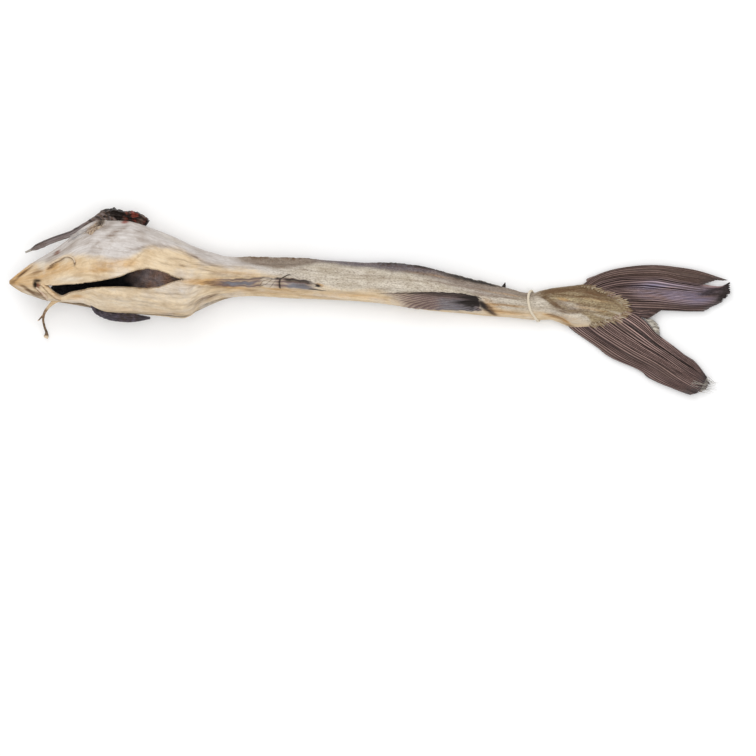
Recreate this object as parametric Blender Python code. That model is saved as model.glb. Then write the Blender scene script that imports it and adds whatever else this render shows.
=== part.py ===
"""Dried stockfish: a headless, gutted, air-dried cod with a loop of twine tied round its tail.

A standalone Blender script, +Z up. Sizes are in millimetres and the meshes in metres. The throat points
to -X and the tail fin to +X. The fish lies on its back at the front, with its belly slit facing up, and
turns on to its side towards the tail, so that there its back faces +Y. The origin is under the middle of
the bounding box, on the surface that the fish lies on.

A place along the fish is its x. A turn is an angle round a cross-section: 0 faces +Y, 90 faces up, 180
faces -Y and -90 faces down. A profile is a short list of (x, size) knots with a smooth curve through them.
"""

import math

import bmesh
import bpy
import numpy as np

MM = 0.001

# Body: where its two edges run seen from above, how high its crest, its widest line and its underside lie.
THROAT_X = -300.0
ROOT_TIP_X = 217.0
UPPER_EDGE = [(-300, 17), (-283, 30), (-258, 45), (-241, 58), (-225, 66), (-205, 66), (-175, 57),
              (-142, 43), (-117, 36.2), (-95, 35.2), (-60, 35.2), (-26, 32.8), (-5, 31.2), (15, 30.8),
              (40, 28.6), (65, 23), (90, 16.8), (107, 12.9), (119, 9.9), (127, 7.6), (134, 6.8), (142, 9.2),
              (152, 11.6), (168, 13.2), (178, 14.2), (188, 11.6), (200, 7), (210, 2), (217, -6.5)]
LOWER_EDGE = [(-300, 14), (-296, 11), (-289, 6.9), (-280, 3.8), (-270, 0.5), (-258, -0.6), (-241, -1.6),
              (-232, -4), (-225, -7.5), (-213, -9.2), (-200, -9.6), (-185, -10.8), (-170, -12.4), (-157, -14),
              (-151, -12.2), (-142, -4.6), (-129, 1.4), (-117, 4), (-100, 5.3), (-60, 3.2), (-36, 1.7),
              (5, -1.6), (42, -5.7), (78, -9), (107, -12.3), (134, -14.2), (149, -14.8), (156, -17),
              (164, -20.6), (172, -21.4), (186, -20.6), (198, -16.7), (208, -14), (217, -9)]
CREST = [(-300, 37), (-283, 42), (-258, 50), (-225, 60), (-192, 64), (-165, 60), (-142, 50), (-117, 40),
         (-60, 32), (40, 27), (107, 21), (136, 16), (160, 12), (200, 8), (217, 6)]
WIDEST = [(-300, 34), (-258, 36), (-225, 31), (-165, 27), (-117, 20), (-60, 16), (40, 13.5),
          (136, 10), (177, 6.5), (217, 4.5)]
UNDERSIDE = [(-300, -1.6), (-60, -1.6), (40, 0.6), (136, 4), (177, 2), (217, 3)]
UPPER_ROUNDNESS = 2.25      # 2 is an ellipse, more is squarer
LOWER_ROUNDNESS = 1.9
FOLDS = [(0.9, 7, 37.0), (0.6, 12, -53.0)]    # depth, folds round the section, run along the fish per turn
BODY_STATIONS = 58
BODY_SIDES = 34

# Neck cut: the line of the beheading cut, from the nape up to the underside of the throat, as (x, height).
NECK_CUT = [(-246, -6), (-250, 4), (-257, 14), (-264, 21), (-274, 28), (-288, 32), (-306, 33.5)]
NECK_CUT_REACH = 120.0

# Belly cavity: the flaps over and beside it, its floor on the back meat, and where it closes at both ends.
FLAP_WALL = 5.0
CAVITY_FLOOR = [(-290, 21), (-245, 18), (-222, 20), (-195, 24), (-172, 35), (-150, 43)]
CAVITY_FILL = 0.95          # its share of the width between the flaps
CAVITY_X = (-290.0, -150.0)
CAVITY_STATIONS = 16
CAVITY_SIDES = 20

# Belly slit, seen from above: its lip on the +Y side and its lip on the -Y side.
UPPER_LIP = [(-269, 12.6), (-242, 13.7), (-208, 19.5), (-192, 25), (-184, 25.7), (-175, 24.5), (-159, 18.3),
             (-155, 17.7)]
LOWER_LIP = [(-269, 12.2), (-256, 3.0), (-248, 6.0), (-239, 7.6), (-233, 9.2), (-217, 10.1), (-202, 10),
             (-189, 9), (-175.5, 10.6), (-166, 14.2), (-155, 17.4)]
SLIT_DEPTH = 15.0
SLIT_STATIONS = 18

# Tail fin: each lobe's rays run from a root line to a tip line and bow sideways, as (x, y) points.
UPPER_LOBE_ROOTS = [(166, 10), (192, 5), (209, -9)]
UPPER_LOBE_TIPS = [(295, 19), (300, 9), (290, 1), (276, -8), (249, -7), (233, -13)]
LOWER_LOBE_ROOTS = [(210, -6), (190, -14), (163, -17)]
LOWER_LOBE_TIPS = [(280, -62), (287, -69), (281, -76), (266, -79)]
UPPER_LOBE_BOW = (14.0, -1.0)    # sideways bow of the first and of the last ray
LOWER_LOBE_BOW = (2.5, -5.0)
BOW_EARLY = 0.75                 # below 1, the bow is greatest nearer the roots
LOBE_HEIGHT = 5.0                # middle of the web above the surface
LOBE_WAVE = 1.8
LOBE_THICKNESS = (4.0, 1.6)      # at the roots and at the tips
PLEATS = 12
PLEAT_DEPTH = 0.7
LOBE_ROWS = 7

# Fins pressed flat on the skin: name, first and last x, first and last turn at the front and at the back end.
PRESSED_FINS = [("anal_fin_front", -147, -36, (88, 107), (98, 112)),
                ("anal_fin_rear", 14, 95, (104, 116), (94, 143)),
                ("dorsal_fin_first", -205, -140, (-62, -42), (-58, -44)),
                ("dorsal_fin_second", -112, -44, (-18, 30), (-14, 24)),
                ("dorsal_fin_third", -2, 107, (-14, 20), (-8, 12))]
PRESSED_FIN_LIFT = 1.6
PRESSED_FIN_ROOT = 2.5
PRESSED_FIN_STATIONS = 14
PRESSED_FIN_SIDES = 5

# Blades, strands and lumps: name, thickness, and their line as (x, y, height, half width).
BLADES = [("shoulder", 12.0, [(-227, 67.5, 28, 3.5), (-221, 70, 28.5, 5.6), (-213, 71, 28.5, 5.8),
                              (-205, 70, 28, 4.8), (-197, 69, 27.5, 5.4), (-190, 66.5, 27, 4.8),
                              (-186.5, 64, 26, 3)]),
          ("backbone", 9.0, [(-238, 25, 10.5, 4.5), (-256, 24, 10.5, 5), (-263, 23.5, 11, 4)]),
          ("pectoral_left", 2.4, [(-211, 62, 34, 5), (-222, 68, 33, 4.5), (-230, 65, 32, 3.6),
                                  (-240, 60.5, 31, 2.9), (-251, 55.3, 30, 2.3), (-265, 50.5, 28, 2.4),
                                  (-276, 45.8, 27, 2.5), (-287, 40.8, 26, 0.7)]),
          ("pectoral_right", 3.0, [(-233, -2, 30, 1.2), (-227, -8.5, 28, 3), (-215, -12.5, 26, 3.8),
                                   (-200, -14, 25, 3.6), (-184, -14, 24, 1.2)]),
          ("pelvic_strand", 2.0, [(-257, 2.5, 37, 2.6), (-263, -1, 33, 1.9), (-268.5, -5.6, 27, 1.2),
                                  (-272.6, -11, 21, 1.1), (-273.5, -16, 16, 1.0), (-272.6, -22, 11, 1.0),
                                  (-271.6, -26, 8.5, 1.1), (-272.2, -29.5, 8, 1.9)]),
          ("pelvic_branch", 1.6, [(-272.6, -11, 21, 0.8), (-278, -16.2, 17, 0.6)]),
          ("dorsal_spike", 1.6, [(108.6, 9, 11.6, 2.2), (110.5, 12.4, 11.6, 1.5), (111.6, 15.8, 11.6, 0.6)])]
BLADE_STATIONS = 12
BLADE_SIDES = 8

# Twine: one loop round the narrow wrist before the tail fin, with a knot low on the -Y side.
TWINE_RADIUS = 1.1
TWINE_GAP = 0.8
TWINE_X = 135.5
TWINE_SLANT = (-3.0, -3.4, 0.9)  # its x moves by these times the cosine, the sine and the double cosine of turn
TWINE_POINTS = 44
KNOT_TURN = 225
KNOT_RADIUS = 2.6

SKIN_COLOUR = (0.62, 0.51, 0.38, 1)
TWINE_COLOUR = (0.72, 0.67, 0.52, 1)


def smooth(knots, at):
    """Value at each place of a smooth curve through (place, value) knots that doesn't overshoot them."""
    place, value = np.array(knots, float).T
    secant = np.diff(value) / np.diff(place)
    slope = np.concatenate([secant[:1], np.zeros(len(place) - 2), secant[-1:]])
    rising = secant[:-1] * secant[1:] > 0
    slope[1:-1][rising] = 2 / (1 / secant[:-1][rising] + 1 / secant[1:][rising])
    at = np.clip(np.asarray(at, float), place[0], place[-1])
    left = np.clip(np.searchsorted(place, at, side="right") - 1, 0, len(place) - 2)
    span = place[left + 1] - place[left]
    t = (at - place[left]) / span
    return ((1 + 2 * t) * (1 - t) ** 2 * value[left] + t * (1 - t) ** 2 * span * slope[left]
            + t * t * (3 - 2 * t) * value[left + 1] + t * t * (t - 1) * span * slope[left + 1])


def along(points, share):
    """Points at shares from 0 to 1 of a smooth line through the given points, one column a coordinate."""
    points = np.array(points, float)
    step = np.linspace(0, 1, len(points))
    return np.stack([smooth(np.column_stack([step, column]), share) for column in points.T], axis=-1)


def section_middle(x):
    """Middle of the body's section, as (x, y, z)."""
    return np.stack([x, (smooth(UPPER_EDGE, x) + smooth(LOWER_EDGE, x)) / 2, smooth(WIDEST, x)], axis=-1)


def rounded(wave, roundness):
    """A cosine or sine raised so that the two together draw a superellipse of that roundness."""
    return np.sign(wave) * np.abs(wave) ** (2 / roundness)


def bare_skin(x, turn):
    """Skin point at place x and turn in radians: a superellipse with unlike upper and lower halves."""
    middle = section_middle(x)
    half = (smooth(UPPER_EDGE, x) - smooth(LOWER_EDGE, x)) / 2
    up = smooth(CREST, x) - middle[..., 2]
    down = middle[..., 2] - smooth(UNDERSIDE, x)
    above = np.sin(turn) > 0
    roundness = np.where(above, UPPER_ROUNDNESS, LOWER_ROUNDNESS)
    across = half * rounded(np.cos(turn), roundness)
    rise = np.where(above, up, down) * rounded(np.sin(turn), roundness)
    return middle + np.stack([np.zeros_like(across), across, rise], axis=-1)


def skin(x, turn, lift=0.0):
    """Skin points with the long drying folds, raised by lift along the section's own normal and kept above 0."""
    x, turn = np.broadcast_arrays(np.asarray(x, float), np.asarray(turn, float))
    step = 0.02
    tangent = bare_skin(x, turn + step) - bare_skin(x, turn - step)
    normal = np.stack([np.zeros_like(x), tangent[..., 2], -tangent[..., 1]], axis=-1)
    normal /= np.linalg.norm(normal, axis=-1, keepdims=True) + 1e-9
    fade = np.clip((x - THROAT_X) / 60, 0, 1) * np.clip((TWINE_X - 20 - x) / 60, 0, 1)
    folds = sum(depth * np.cos(count * turn + x / run) for depth, count, run in FOLDS) * fade
    points = bare_skin(x, turn) + normal * (folds + lift)[..., None]
    points[..., 2] = np.maximum(points[..., 2], 0)
    return points


def keep(name, bm, collection):
    """Makes a mesh object from bm, with its faces pointing out."""
    bmesh.ops.recalc_face_normals(bm, faces=bm.faces)
    mesh = bpy.data.meshes.new(name)
    bm.to_mesh(mesh)
    bm.free()
    obj = bpy.data.objects.new(name, mesh)
    collection.objects.link(obj)
    return obj


def tube(name, rings, collection):
    """A closed solid through rings of points in millimetres (rings x sides x 3), with a fan at each end."""
    bm = bmesh.new()
    rows = [[bm.verts.new(point * MM) for point in ring] for ring in rings]
    for row, after in zip(rows, rows[1:]):
        for i in range(len(row)):
            j = (i + 1) % len(row)
            bm.faces.new((row[i], row[j], after[j], after[i]))
    for row, ring in ((rows[0], rings[0]), (rows[-1], rings[-1])):
        middle = bm.verts.new(ring.mean(axis=0) * MM)
        for i in range(len(row)):
            bm.faces.new((row[i], row[(i + 1) % len(row)], middle))
    return keep(name, bm, collection)


def plate(name, top, bottom, collection):
    """A closed solid between two grids of points in millimetres, joined round their borders."""
    rows, columns = top.shape[:2]
    rings = np.concatenate([top, bottom[:, ::-1]], axis=1)
    bm = bmesh.new()
    verts = [[bm.verts.new(point * MM) for point in ring] for ring in rings]
    for row, after in zip(verts, verts[1:]):
        for i in range(2 * columns):
            j = (i + 1) % (2 * columns)
            bm.faces.new((row[i], row[j], after[j], after[i]))
    for row in (verts[0], verts[-1]):
        for i in range(columns - 1):
            bm.faces.new((row[i], row[i + 1], row[-2 - i], row[-1 - i]))
    return keep(name, bm, collection)


def make_body(collection):
    """The whole body as one loft from the throat's tip to the tip of the tail's scaly root."""
    x = np.linspace(THROAT_X, ROOT_TIP_X, BODY_STATIONS)[:, None]
    turn = np.linspace(0, 2 * math.pi, BODY_SIDES, endpoint=False)[None, :]
    return tube("stockfish", skin(x, turn), collection)


def make_neck_cut(collection):
    """Everything below and before the line of the beheading cut, as a wide prism."""
    line = along(NECK_CUT, np.linspace(0, 1, 14))
    low_corner = [(NECK_CUT[-1][0], NECK_CUT[0][1])]
    outline = np.concatenate([line, low_corner])
    rings = [np.column_stack([outline[:, 0], np.full(len(outline), side), outline[:, 1]])
             for side in (-NECK_CUT_REACH, NECK_CUT_REACH)]
    return tube("neck_cut", rings, collection)


def make_cavity(collection):
    """The gutted belly: superellipses between the flaps and the floor, closing at both ends."""
    first, last = CAVITY_X
    share = (1 - np.cos(np.linspace(0.12, math.pi - 0.12, CAVITY_STATIONS))) / 2
    x = (first + (last - first) * share)[:, None]
    turn = np.linspace(0, 2 * math.pi, CAVITY_SIDES, endpoint=False)[None, :]
    roof, floor = smooth(CREST, x) - FLAP_WALL, smooth(CAVITY_FLOOR, x)
    half = CAVITY_FILL * ((smooth(UPPER_EDGE, x) - smooth(LOWER_EDGE, x)) / 2 - FLAP_WALL)
    closing = np.sin(math.pi * share[:, None]) ** 0.3
    across = half * closing * rounded(np.cos(turn), UPPER_ROUNDNESS)
    rise = (roof - floor) / 2 * closing * rounded(np.sin(turn), UPPER_ROUNDNESS)
    y = section_middle(x)[..., 1] + across
    return tube("cavity", np.stack([x + 0 * y, y, (roof + floor) / 2 + rise], axis=-1), collection)


def make_slit(collection):
    """The belly slit: a tall wedge between its two lips, from inside the cavity to above the crest."""
    x = np.linspace(UPPER_LIP[0][0], UPPER_LIP[-1][0], SLIT_STATIONS)
    low, high = smooth(LOWER_LIP, x), smooth(UPPER_LIP, x)
    floor, top = smooth(CREST, x) - SLIT_DEPTH, smooth(CREST, x) + SLIT_DEPTH
    corners = [(low, floor), (high, floor), (high, top), (low, top)]
    return tube("slit", np.stack([np.column_stack([x, y, z]) for y, z in corners], axis=1), collection)


def make_lobe(name, roots, tips, bow, collection):
    """A tail lobe: rays from roots to tips, each bowed by a parabola, with pleats that deepen outwards."""
    ray = np.linspace(0, 1, 2 * PLEATS + 1)[None, :, None]
    out = np.linspace(0, 1, LOBE_ROWS)[:, None, None]
    start, end = along(roots, ray[0, :, 0]), along(tips, ray[0, :, 0])
    flat = start * (1 - out) + end * out
    early = out ** BOW_EARLY
    flat[..., 1] += ((bow[0] * (1 - ray) ** 2 + bow[1] * ray ** 2) * 4 * early * (1 - early))[..., 0]
    pleat = PLEAT_DEPTH * np.cos(math.pi * 2 * PLEATS * ray) * np.minimum(3 * out, 1)
    wave = LOBE_WAVE * np.sin(2.6 * out + 4 * ray)
    height = (LOBE_HEIGHT + wave * out + pleat)[..., 0]
    half = (LOBE_THICKNESS[0] + (LOBE_THICKNESS[1] - LOBE_THICKNESS[0]) * out[..., 0]) / 2
    top, bottom = (np.concatenate([flat, (height + side * half)[..., None]], axis=-1) for side in (1, -1))
    return plate(name, top, bottom, collection)


def make_pressed_fin(name, first, last, front_turns, back_turns, collection):
    """A fin dried flat on the skin: a raised strip between two lines of turn, thin at both ends."""
    share = np.linspace(0, 1, PRESSED_FIN_STATIONS)[:, None]
    across = np.linspace(0, 1, PRESSED_FIN_SIDES)[None, :]
    low = front_turns[0] + (back_turns[0] - front_turns[0]) * share
    high = front_turns[1] + (back_turns[1] - front_turns[1]) * share
    turn = np.radians(low + (high - low) * across)
    x = first + (last - first) * share + 0 * across
    lift = PRESSED_FIN_LIFT * np.sin(math.pi * share) ** 0.5 + 0 * across
    return plate(name, skin(x, turn, lift), skin(x, turn, -PRESSED_FIN_ROOT), collection)


def make_blade(name, thickness, line, collection):
    """A narrow blade or strand: a flattened ring carried along a smooth line, as wide as the line says."""
    spine = along(line, np.linspace(0, 1, BLADE_STATIONS))
    way = np.gradient(spine[:, :2], axis=0)
    way /= np.linalg.norm(way, axis=1, keepdims=True)
    angle = np.linspace(0, 2 * math.pi, BLADE_SIDES, endpoint=False)
    side = spine[:, None, 3] * np.cos(angle)
    height = np.minimum(spine[:, None, 3], thickness / 2) * np.sin(angle)
    rings = np.stack([spine[:, None, 0] - way[:, None, 1] * side, spine[:, None, 1] + way[:, None, 0] * side,
                      spine[:, None, 2] + height], axis=-1)
    return tube(name, rings, collection)


def round_wrist(turn, radius):
    """Where the middle of something of that radius lies on the twine's slanting line, a small gap off the skin."""
    cosine, sine, double = TWINE_SLANT
    x = TWINE_X + cosine * np.cos(turn) + sine * np.sin(turn) + double * np.cos(2 * turn)
    return skin(x, turn, radius + TWINE_GAP)


def make_twine(collection):
    """The loop of twine, a round cord on a closed line, made a mesh so that the knot can join it."""
    curve = bpy.data.curves.new("twine_line", "CURVE")
    curve.dimensions = "3D"
    curve.bevel_depth = TWINE_RADIUS * MM
    curve.bevel_resolution = 2
    spline = curve.splines.new("POLY")
    spline.points.add(TWINE_POINTS - 1)
    centre = round_wrist(np.linspace(0, 2 * math.pi, TWINE_POINTS, endpoint=False), TWINE_RADIUS) * MM
    spline.points.foreach_set("co", np.column_stack([centre, np.ones(TWINE_POINTS)]).ravel())
    spline.use_cyclic_u = True
    loop = bpy.data.objects.new("twine_line", curve)
    collection.objects.link(loop)
    bpy.context.view_layer.update()
    mesh = bpy.data.meshes.new_from_object(loop.evaluated_get(bpy.context.evaluated_depsgraph_get()))
    twine = bpy.data.objects.new("twine", mesh)
    twine.matrix_world = loop.matrix_world
    collection.objects.link(twine)
    bpy.data.objects.remove(loop)
    return twine


def make_knot(collection):
    """The twine's knot, a ball on the loop."""
    bm = bmesh.new()
    bmesh.ops.create_icosphere(bm, subdivisions=2, radius=KNOT_RADIUS * MM)
    middle = round_wrist(math.radians(KNOT_TURN), KNOT_RADIUS) * MM
    bmesh.ops.translate(bm, vec=middle, verts=bm.verts)
    return keep("knot", bm, collection)


def shape_with(obj, tool, operation):
    """Cuts obj with the tool or joins the tool to it, and keeps the tool out of the model."""
    tool.hide_render = True
    tool.display_type = "WIRE"
    modifier = obj.modifiers.new(tool.name, "BOOLEAN")
    modifier.operation = operation
    modifier.object = tool


def finish(obj, colour, roughness):
    """Gives obj its own plain material."""
    material = bpy.data.materials.new(obj.name)
    material.use_nodes = True
    shader = material.node_tree.nodes["Principled BSDF"]
    shader.inputs["Base Color"].default_value = colour
    shader.inputs["Roughness"].default_value = roughness
    shader.inputs["Metallic"].default_value = 0.0
    obj.data.materials.clear()
    obj.data.materials.append(material)


def main():
    for obj in list(bpy.data.objects):
        bpy.data.objects.remove(obj)
    parts = bpy.data.collections.new("dried_stockfish")
    tools = bpy.data.collections.new("shaping_tools")
    for collection in (parts, tools):
        bpy.context.scene.collection.children.link(collection)

    fish = make_body(parts)
    for cutter in (make_neck_cut(tools), make_cavity(tools), make_slit(tools)):
        shape_with(fish, cutter, "DIFFERENCE")
    grown_on = [make_lobe("tail_lobe_upper", UPPER_LOBE_ROOTS, UPPER_LOBE_TIPS, UPPER_LOBE_BOW, tools),
                make_lobe("tail_lobe_lower", LOWER_LOBE_ROOTS, LOWER_LOBE_TIPS, LOWER_LOBE_BOW, tools)]
    grown_on += [make_pressed_fin(*fin, tools) for fin in PRESSED_FINS]
    grown_on += [make_blade(*blade, tools) for blade in BLADES]
    for growth in grown_on:
        shape_with(fish, growth, "UNION")
    finish(fish, SKIN_COLOUR, 0.7)

    twine = make_twine(parts)
    shape_with(twine, make_knot(tools), "UNION")
    finish(twine, TWINE_COLOUR, 0.9)


main()
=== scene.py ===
"""Looks of the dried stockfish: its skin, belly lining, fins, tail, flesh and twine, and a plain pale stage.

Sizes in this file are in millimetres unless a property says otherwise, and the meshes are in metres. The
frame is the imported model's own: the throat points to -X, the tail fin to +X, and +Z is up. A turn is an angle
round a section of the body: 0 faces +Y, 90 faces up, 180 faces -Y and 270 faces down. A profile is a short
list of (x, size) knots with a smooth curve through them.
"""

import math

import bmesh
import bpy
import numpy as np
from bpy.props import FloatProperty, FloatVectorProperty, IntProperty, PointerProperty
from bpy.types import Operator, Panel, PropertyGroup
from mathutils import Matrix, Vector


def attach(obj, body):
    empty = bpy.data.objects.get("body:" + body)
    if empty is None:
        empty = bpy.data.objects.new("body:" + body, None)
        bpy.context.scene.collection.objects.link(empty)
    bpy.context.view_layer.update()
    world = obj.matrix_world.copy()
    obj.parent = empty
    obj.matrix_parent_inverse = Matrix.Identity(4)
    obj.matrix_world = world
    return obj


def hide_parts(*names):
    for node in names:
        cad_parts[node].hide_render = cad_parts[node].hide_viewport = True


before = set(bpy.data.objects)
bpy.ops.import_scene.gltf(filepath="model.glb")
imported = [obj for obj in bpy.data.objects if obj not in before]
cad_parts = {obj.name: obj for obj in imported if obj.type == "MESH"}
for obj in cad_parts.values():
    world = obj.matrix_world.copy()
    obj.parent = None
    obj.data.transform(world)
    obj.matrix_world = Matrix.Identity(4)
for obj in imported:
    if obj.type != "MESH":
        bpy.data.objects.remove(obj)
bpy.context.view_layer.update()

bl_info = {
    "name": "Dried Stockfish",
    "version": (1, 0, 0),
    "blender": (4, 5, 0),
    "location": "View3D > Sidebar > Stockfish",
    "description": "Makes the skin, fins, flesh and twine of a dried stockfish around its solids",
    "category": "Add Mesh",
}

MM = 0.001
WELD = 2e-6                 # metres: points closer than this are one point

# --- The body's form, as in its solid
THROAT_X = -300.0
ROOT_TIP_X = 217.0
UPPER_EDGE = [(-300, 17), (-283, 30), (-258, 45), (-241, 58), (-225, 66), (-205, 66), (-175, 57), (-142, 43),
              (-117, 36.2), (-95, 35.2), (-60, 35.2), (-26, 32.8), (-5, 31.2), (15, 30.8), (40, 28.6),
              (65, 23), (90, 16.8), (107, 12.9), (119, 9.9), (127, 7.6), (134, 6.8), (142, 9.2), (152, 11.6),
              (168, 13.2), (178, 14.2), (188, 11.6), (200, 7), (210, 2), (217, -6.5)]
LOWER_EDGE = [(-300, 14), (-296, 11), (-289, 6.9), (-280, 3.8), (-270, 0.5), (-258, -0.6), (-241, -1.6),
              (-232, -4), (-225, -7.5), (-213, -9.2), (-200, -9.6), (-185, -10.8), (-170, -12.4), (-157, -14),
              (-151, -12.2), (-142, -4.6), (-129, 1.4), (-117, 4), (-100, 5.3), (-60, 3.2), (-36, 1.7),
              (5, -1.6), (42, -5.7), (78, -9), (107, -12.3), (134, -14.2), (149, -14.8), (156, -17),
              (164, -20.6), (172, -21.4), (186, -20.6), (198, -16.7), (208, -14), (217, -9)]
CREST = [(-300, 37), (-283, 42), (-258, 50), (-225, 60), (-192, 64), (-165, 60), (-142, 50), (-117, 40),
         (-60, 32), (40, 27), (107, 21), (136, 16), (160, 12), (200, 8), (217, 6)]
WIDEST = [(-300, 34), (-258, 36), (-225, 31), (-165, 27), (-117, 20), (-60, 16), (40, 13.5), (136, 10),
          (177, 6.5), (217, 4.5)]
UNDERSIDE = [(-300, -1.6), (-60, -1.6), (40, 0.6), (136, 4), (177, 2), (217, 3)]
UPPER_ROUNDNESS = 2.25      # 2 is an ellipse, more is squarer
LOWER_ROUNDNESS = 1.9
FOLDS = [(0.9, 7, 37.0), (0.6, 12, -53.0)]    # depth, folds round the section, run along the fish per turn
NECK_CUT = [(-306, 33.5), (-288, 32), (-274, 28), (-264, 21), (-257, 14), (-250, 4), (-246, -6)]
FLAP_WALL = 5.0
CAVITY_FLOOR = [(-290, 21), (-245, 18), (-222, 20), (-195, 24), (-172, 35), (-150, 43)]
CAVITY_FILL = 0.95
CAVITY_X = (-290.0, -150.0)
INNER_X = (-285.0, -151.5)      # the part of the hollow that is lined
NECK_END_X = -200.0             # the neck's cut never reaches this far back
LIP_SWELL = 0.35                # how far the slit's lips bulge, at most
UPPER_LIP = [(-300, 15.5), (-269, 12.6), (-242, 13.7), (-208, 19.5), (-192, 25), (-184, 25.7), (-175, 24.5),
             (-159, 18.3), (-155, 17.7)]
LOWER_LIP = [(-300, 15.3), (-269, 12.2), (-256, 3.0), (-248, 6.0), (-239, 7.6), (-233, 9.2), (-217, 10.1),
             (-202, 10), (-189, 9), (-175.5, 10.6), (-166, 14.2), (-155, 17.4)]
SLIT_X = (-269.5, -154.5)
BELLY_LINE = [(-300, 92), (-269, 108), (-155, 90), (-117, 105), (-76, 110), (-34, 125), (24, 150), (57, 165),
              (136, 180), (217, 180)]      # turn of the belly's middle line, where no slit parts it
TWINE_X = 135.5
TWINE_SLANT = (-3.0, -3.4, 0.9)
TWINE_GAP = 0.8
WAIST_SWELL = (0.65, 9.0)    # how far, and over what half length, the skin swells against the twine

# --- Creases and stains of the skin, seen from above. A line is (x, y) knots; depth below 0 is a ridge.
# The darkness of a crease is painted brown and painted shade in it; a ridge has none.
CREASES = [     # depth, half width, darkness, line
    (1.0, 0.9, 0.75, [(-202, 40), (-192, 42.5), (-182, 45), (-172, 45.2), (-163, 43.5), (-154, 40),
                      (-145, 36), (-134, 30.5), (-121, 27.5)]),
    (0.5, 0.7, 0.5, [(-200, 27.8), (-195.5, 32.4), (-191, 36.5), (-187, 40.3)]),
    (0.7, 0.8, 0.6, [(-177, 30.7), (-163, 29.5), (-150.6, 27.8), (-138, 25.3), (-124, 23)]),
    (0.5, 0.7, 0.45, [(-171, 35), (-159, 33.6), (-146, 30.7), (-130, 25.7)]),
    (0.6, 1.0, 0.35, [(-235, 37.8), (-229.5, 44), (-223.7, 49), (-217, 53), (-210.4, 56.4), (-205.4, 59)]),
    (0.5, 1.0, 0.3, [(-228, 48), (-217, 51.5), (-204.6, 54.4), (-190.5, 56.9), (-175.5, 57.7)]),
    (1.0, 0.8, 0.9, [(-298, 14.8), (-294.6, 17.9), (-289, 22), (-284, 25.6), (-279, 28.2)]),
    (1.8, 1.1, 1.0, [(-292, 13.7), (-286, 10), (-281, 7.5), (-276.8, 5.8), (-272.7, 3.3), (-269.8, -0.4)]),
    (0.8, 0.8, 0.9, [(-267.6, 26), (-262, 29), (-257, 31.7), (-252.7, 33.6)]),
    (0.4, 0.6, 0.6, [(-246, 28.6), (-242.4, 25.3)]),
    (0.6, 0.9, 0.35, [(-225, 7.5), (-200, 8.3), (-175.5, 5.8), (-150.6, 4.2)]),
    (0.6, 0.9, 0.35, [(-215, 0.8), (-184, -1.7), (-159, -4.2), (-138, -1.7)]),
    (0.4, 0.8, 0.3, [(-200, 4), (-165, 2), (-140, 2.5)]),
    # This broad crease in the lower flap's hollow is painted shade.
    (0.9, 1.6, 0.5, [(-152, -3), (-142, 1), (-131, 3.5), (-120, 3.3)]),
    (0.5, 0.7, 0.5, [(-155, 17.2), (-146, 15.5), (-138, 14.6), (-129, 14.2)]),
    (0.4, 0.8, 0.5, [(-150, 11.6), (-120, 10), (-90, 9), (-60, 8)]),
    (0.5, 0.8, 0.4, [(-117, 34.5), (-95, 31), (-70, 28), (-50, 26)]),
    (0.5, 0.9, 0.4, [(24, 26), (48, 23.5), (70, 19.5), (95, 12.5)]),
    (0.4, 0.8, 0.35, [(24, 17.5), (56, 15.5), (82, 11.5), (100, 8)]),
    (0.4, 0.8, 0.3, [(-30, 22), (0, 21), (30, 19.5)]),
    (0.6, 0.7, 0.85, [(96, 6), (110, 3.5), (122, 2.2), (130, 1.8)]),
    (0.5, 0.7, 0.6, [(96, -1.5), (110, -3), (129, -4.5)]),
    (0.5, 0.7, 0.5, [(100, -8), (115, -9.5), (130, -11)]),
    (1.0, 1.1, 0.95, [(136, 5), (141, 4), (146, 0.8), (152, -3.3), (157, -6.5)]),
    (0.8, 0.8, 0.6, [(155, -6.6), (162, -9.0), (172, -9.3), (178, -11.2), (182.5, -14.5)]),
    (0.8, 0.8, 0.8, [(146, -10.8), (155, -13.5), (161, -15.8), (167, -20)]),
    (0.5, 0.7, 0.6, [(146, 7), (160, 5), (178, 3.5), (198, 0.5)]),
    (0.5, 0.7, 0.5, [(152, 9.3), (166, 8.8), (182, 7), (194, 4.5)]),
    (0.5, 0.7, 0.5, [(158, 0.5), (172, -1.5), (190, -4), (206, -7)]),
    (0.4, 0.7, 0.4, [(176, -7.5), (190, -9.5), (205, -11)]),
    (-1.0, 1.8, 0.0, [(-286, 28), (-268, 31), (-250, 35)]),
    (-1.2, 1.2, 0.0, [(-274, 11), (-267, 6.5), (-261, 2.0)]),
    (-0.9, 0.8, 0.0, [(-270, 14.5), (-266, 9.5), (-261, 5.5), (-257, 2.6)]),
    (-0.7, 0.9, 0.0, [(84, 10), (98, 7.5), (115, 5.5), (130, 3.7)]),
    (-1.3, 2.2, 0.0, [(141, 0), (150, -6.5), (160, -11.5), (176, -15)]),
]
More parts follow.
